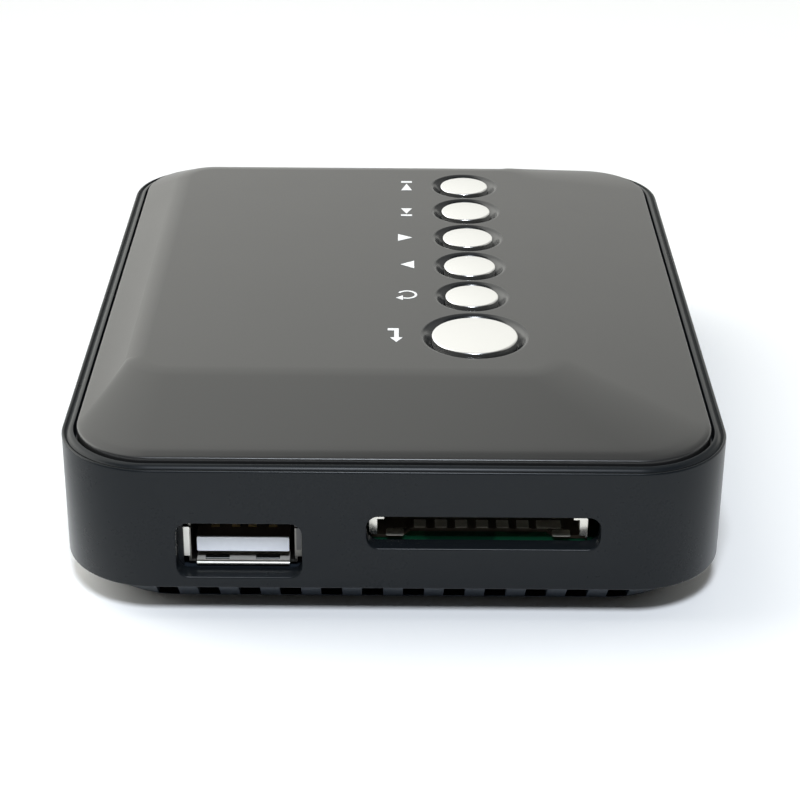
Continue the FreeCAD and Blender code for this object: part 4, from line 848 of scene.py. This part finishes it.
# %% Signs
OUTLINES = {
    "enter": [(-0.93, 1.4), (-0.08, 1.4), (-0.08, -0.75), (-0.62, -0.75), (0.2, -2.15), (1.02, -0.75),
              (0.5, -0.75), (0.5, 2.05), (-0.93, 2.05)],
    "return": [(0.1, -0.7), (1.05, -1.45), (1.05, 0.05)],
    "up": [(0.70, 0.4), (2.62, -0.95), (2.62, 1.75)],
    "down": [(2.40, -0.1), (0.34, 1.2), (0.34, -1.4)],
}
TURNING_ARC = {"x": 1.6, "rise": 0.35, "radius": 1.22, "width": 0.34, "start": 150, "sweep": -265}
SKIP_ARROWS = {
    "left": {"x": 1.58, "start": 0.95, "end": -2.1, "width": 1.65, "bar": 0.6},
    "right": {"x": 1.60, "start": -1.9, "end": 2.0, "width": 1.65, "bar": 0.7},
}
for key in KEYS:
    y = cap_place(key)[1]
    bm = bmesh.new()
    if key == "return":
        arc(bm, TURNING_ARC["x"], y + TURNING_ARC["rise"], TURNING_ARC["radius"], TURNING_ARC["width"],
            math.radians(TURNING_ARC["start"]), math.radians(TURNING_ARC["sweep"]))
    if key in OUTLINES:
        plate(bm, [(x, y + rise) for x, rise in OUTLINES[key]])
    else:
        arrow = SKIP_ARROWS[key]
        skip_arrow(bm, arrow["x"], y + arrow["start"], y + arrow["end"], arrow["width"], arrow["bar"])
    piece("sign_" + key, bm, sign_ink, sharp=20)

# %% [markdown]
# ## Studio
# A pale floor lies under the box, and one small soft light hangs in front of it and above, so its shadow
# is short.  The rest comes from the room, whose brightness changes with direction: bright behind, at the
# sides and towards the upper left, dim in front and overhead.  Lamps and white screens could give the
# same; a room that is a sum of a few slopes is quicker to set and has no edges for the plastic to mirror.
# The lid mirrors the back of the room at a low angle, so it looks grey although its plastic is black, and
# the front of the band mirrors the dim side and stays dark.

# %% Floor
FLOOR_REACH = 3.0
bm = bmesh.new()
bmesh.ops.create_grid(bm, x_segments=1, y_segments=1, size=FLOOR_REACH)
floor_mesh = bpy.data.meshes.new("floor")
bm.to_mesh(floor_mesh)
bm.free()
floor = bpy.data.objects.new("floor", floor_mesh)
bpy.context.scene.collection.objects.link(floor)
floor_mesh.materials.append(Finish("floor_paper", (0.96, 0.96, 0.96), 0.9).material)
print("floor", floor.dimensions.x, "m across")

# %% Key light
KEY_PLACE = Vector((0.0, -0.31, 0.45))
KEY_SIDE = 0.10
KEY_POWER = 2.3
KEY_COLOUR = (0.86, 0.92, 1.0)
key_light = bpy.data.objects.new("key", bpy.data.lights.new("key", "AREA"))
bpy.context.scene.collection.objects.link(key_light)
key_light.data.shape = "RECTANGLE"
key_light.data.size = KEY_SIDE
key_light.data.size_y = KEY_SIDE
key_light.data.energy = KEY_POWER
key_light.data.color = KEY_COLOUR
key_light.location = KEY_PLACE
key_light.rotation_mode = "QUATERNION"
key_light.rotation_quaternion = (Vector((0.0, 0.0, 0.0)) - KEY_PLACE).to_track_quat("-Z", "Y")
key_light.visible_camera = False
print("key light", KEY_POWER, "W")

# %% Light of the room
ROOM_LEVEL = 1.0
ROOM_SLOPE = (-0.7, 0.0, 0.75)
SIDE_RISE = 0.45
SIDE_GLOW = {"start": 0.5, "slope": 2.0, "power": 2.2}
FRONT_DIM = {"start": 0.02, "slope": 6.0, "share": 0.96}
CEILING_DIM = {"weights": (0.8, 0.0, 1.0), "start": 0.68, "slope": 8.0, "share": 0.72}
ROOM_COLOUR = (1.0, 1.0, 0.95, 1.0)
world = bpy.data.worlds.new("studio")
bpy.context.scene.world = world
world.use_nodes = True
room = Network(world.node_tree)
direction = room.node("ShaderNodeTexCoord", output="Generated")


def towards(weights):
    """A number that changes evenly across the room, from three weights."""
    return room.node("ShaderNodeVectorMath", {"operation": "DOT_PRODUCT"}, {0: direction, 1: weights},
                     output="Value")


def ramp(value, slope):
    """A number times a slope, held between 0 and 1."""
    return room.node("ShaderNodeMath", {"operation": "MULTIPLY", "use_clamp": True}, {0: value, 1: slope})


aside = abs(towards((1.0, 0.0, 0.0)))
side_glow = ramp(aside - SIDE_GLOW["start"], SIDE_GLOW["slope"])
front_dim = ramp(FRONT_DIM["start"] - towards((0.0, 1.0, 0.0)), FRONT_DIM["slope"])
ceiling_dim = ramp(towards(CEILING_DIM["weights"]) - CEILING_DIM["start"], CEILING_DIM["slope"])
walls = towards(ROOM_SLOPE) + ROOM_LEVEL + aside * SIDE_RISE + side_glow * SIDE_GLOW["power"]
brightness = walls * (1.0 - front_dim * FRONT_DIM["share"]) * (1.0 - ceiling_dim * CEILING_DIM["share"])
background = world.node_tree.nodes["Background"]
room.join(brightness, background.inputs["Strength"])
room.join(ROOM_COLOUR, background.inputs["Color"])
bpy.context.scene.view_settings.view_transform = "Standard"
print("the room is lit")
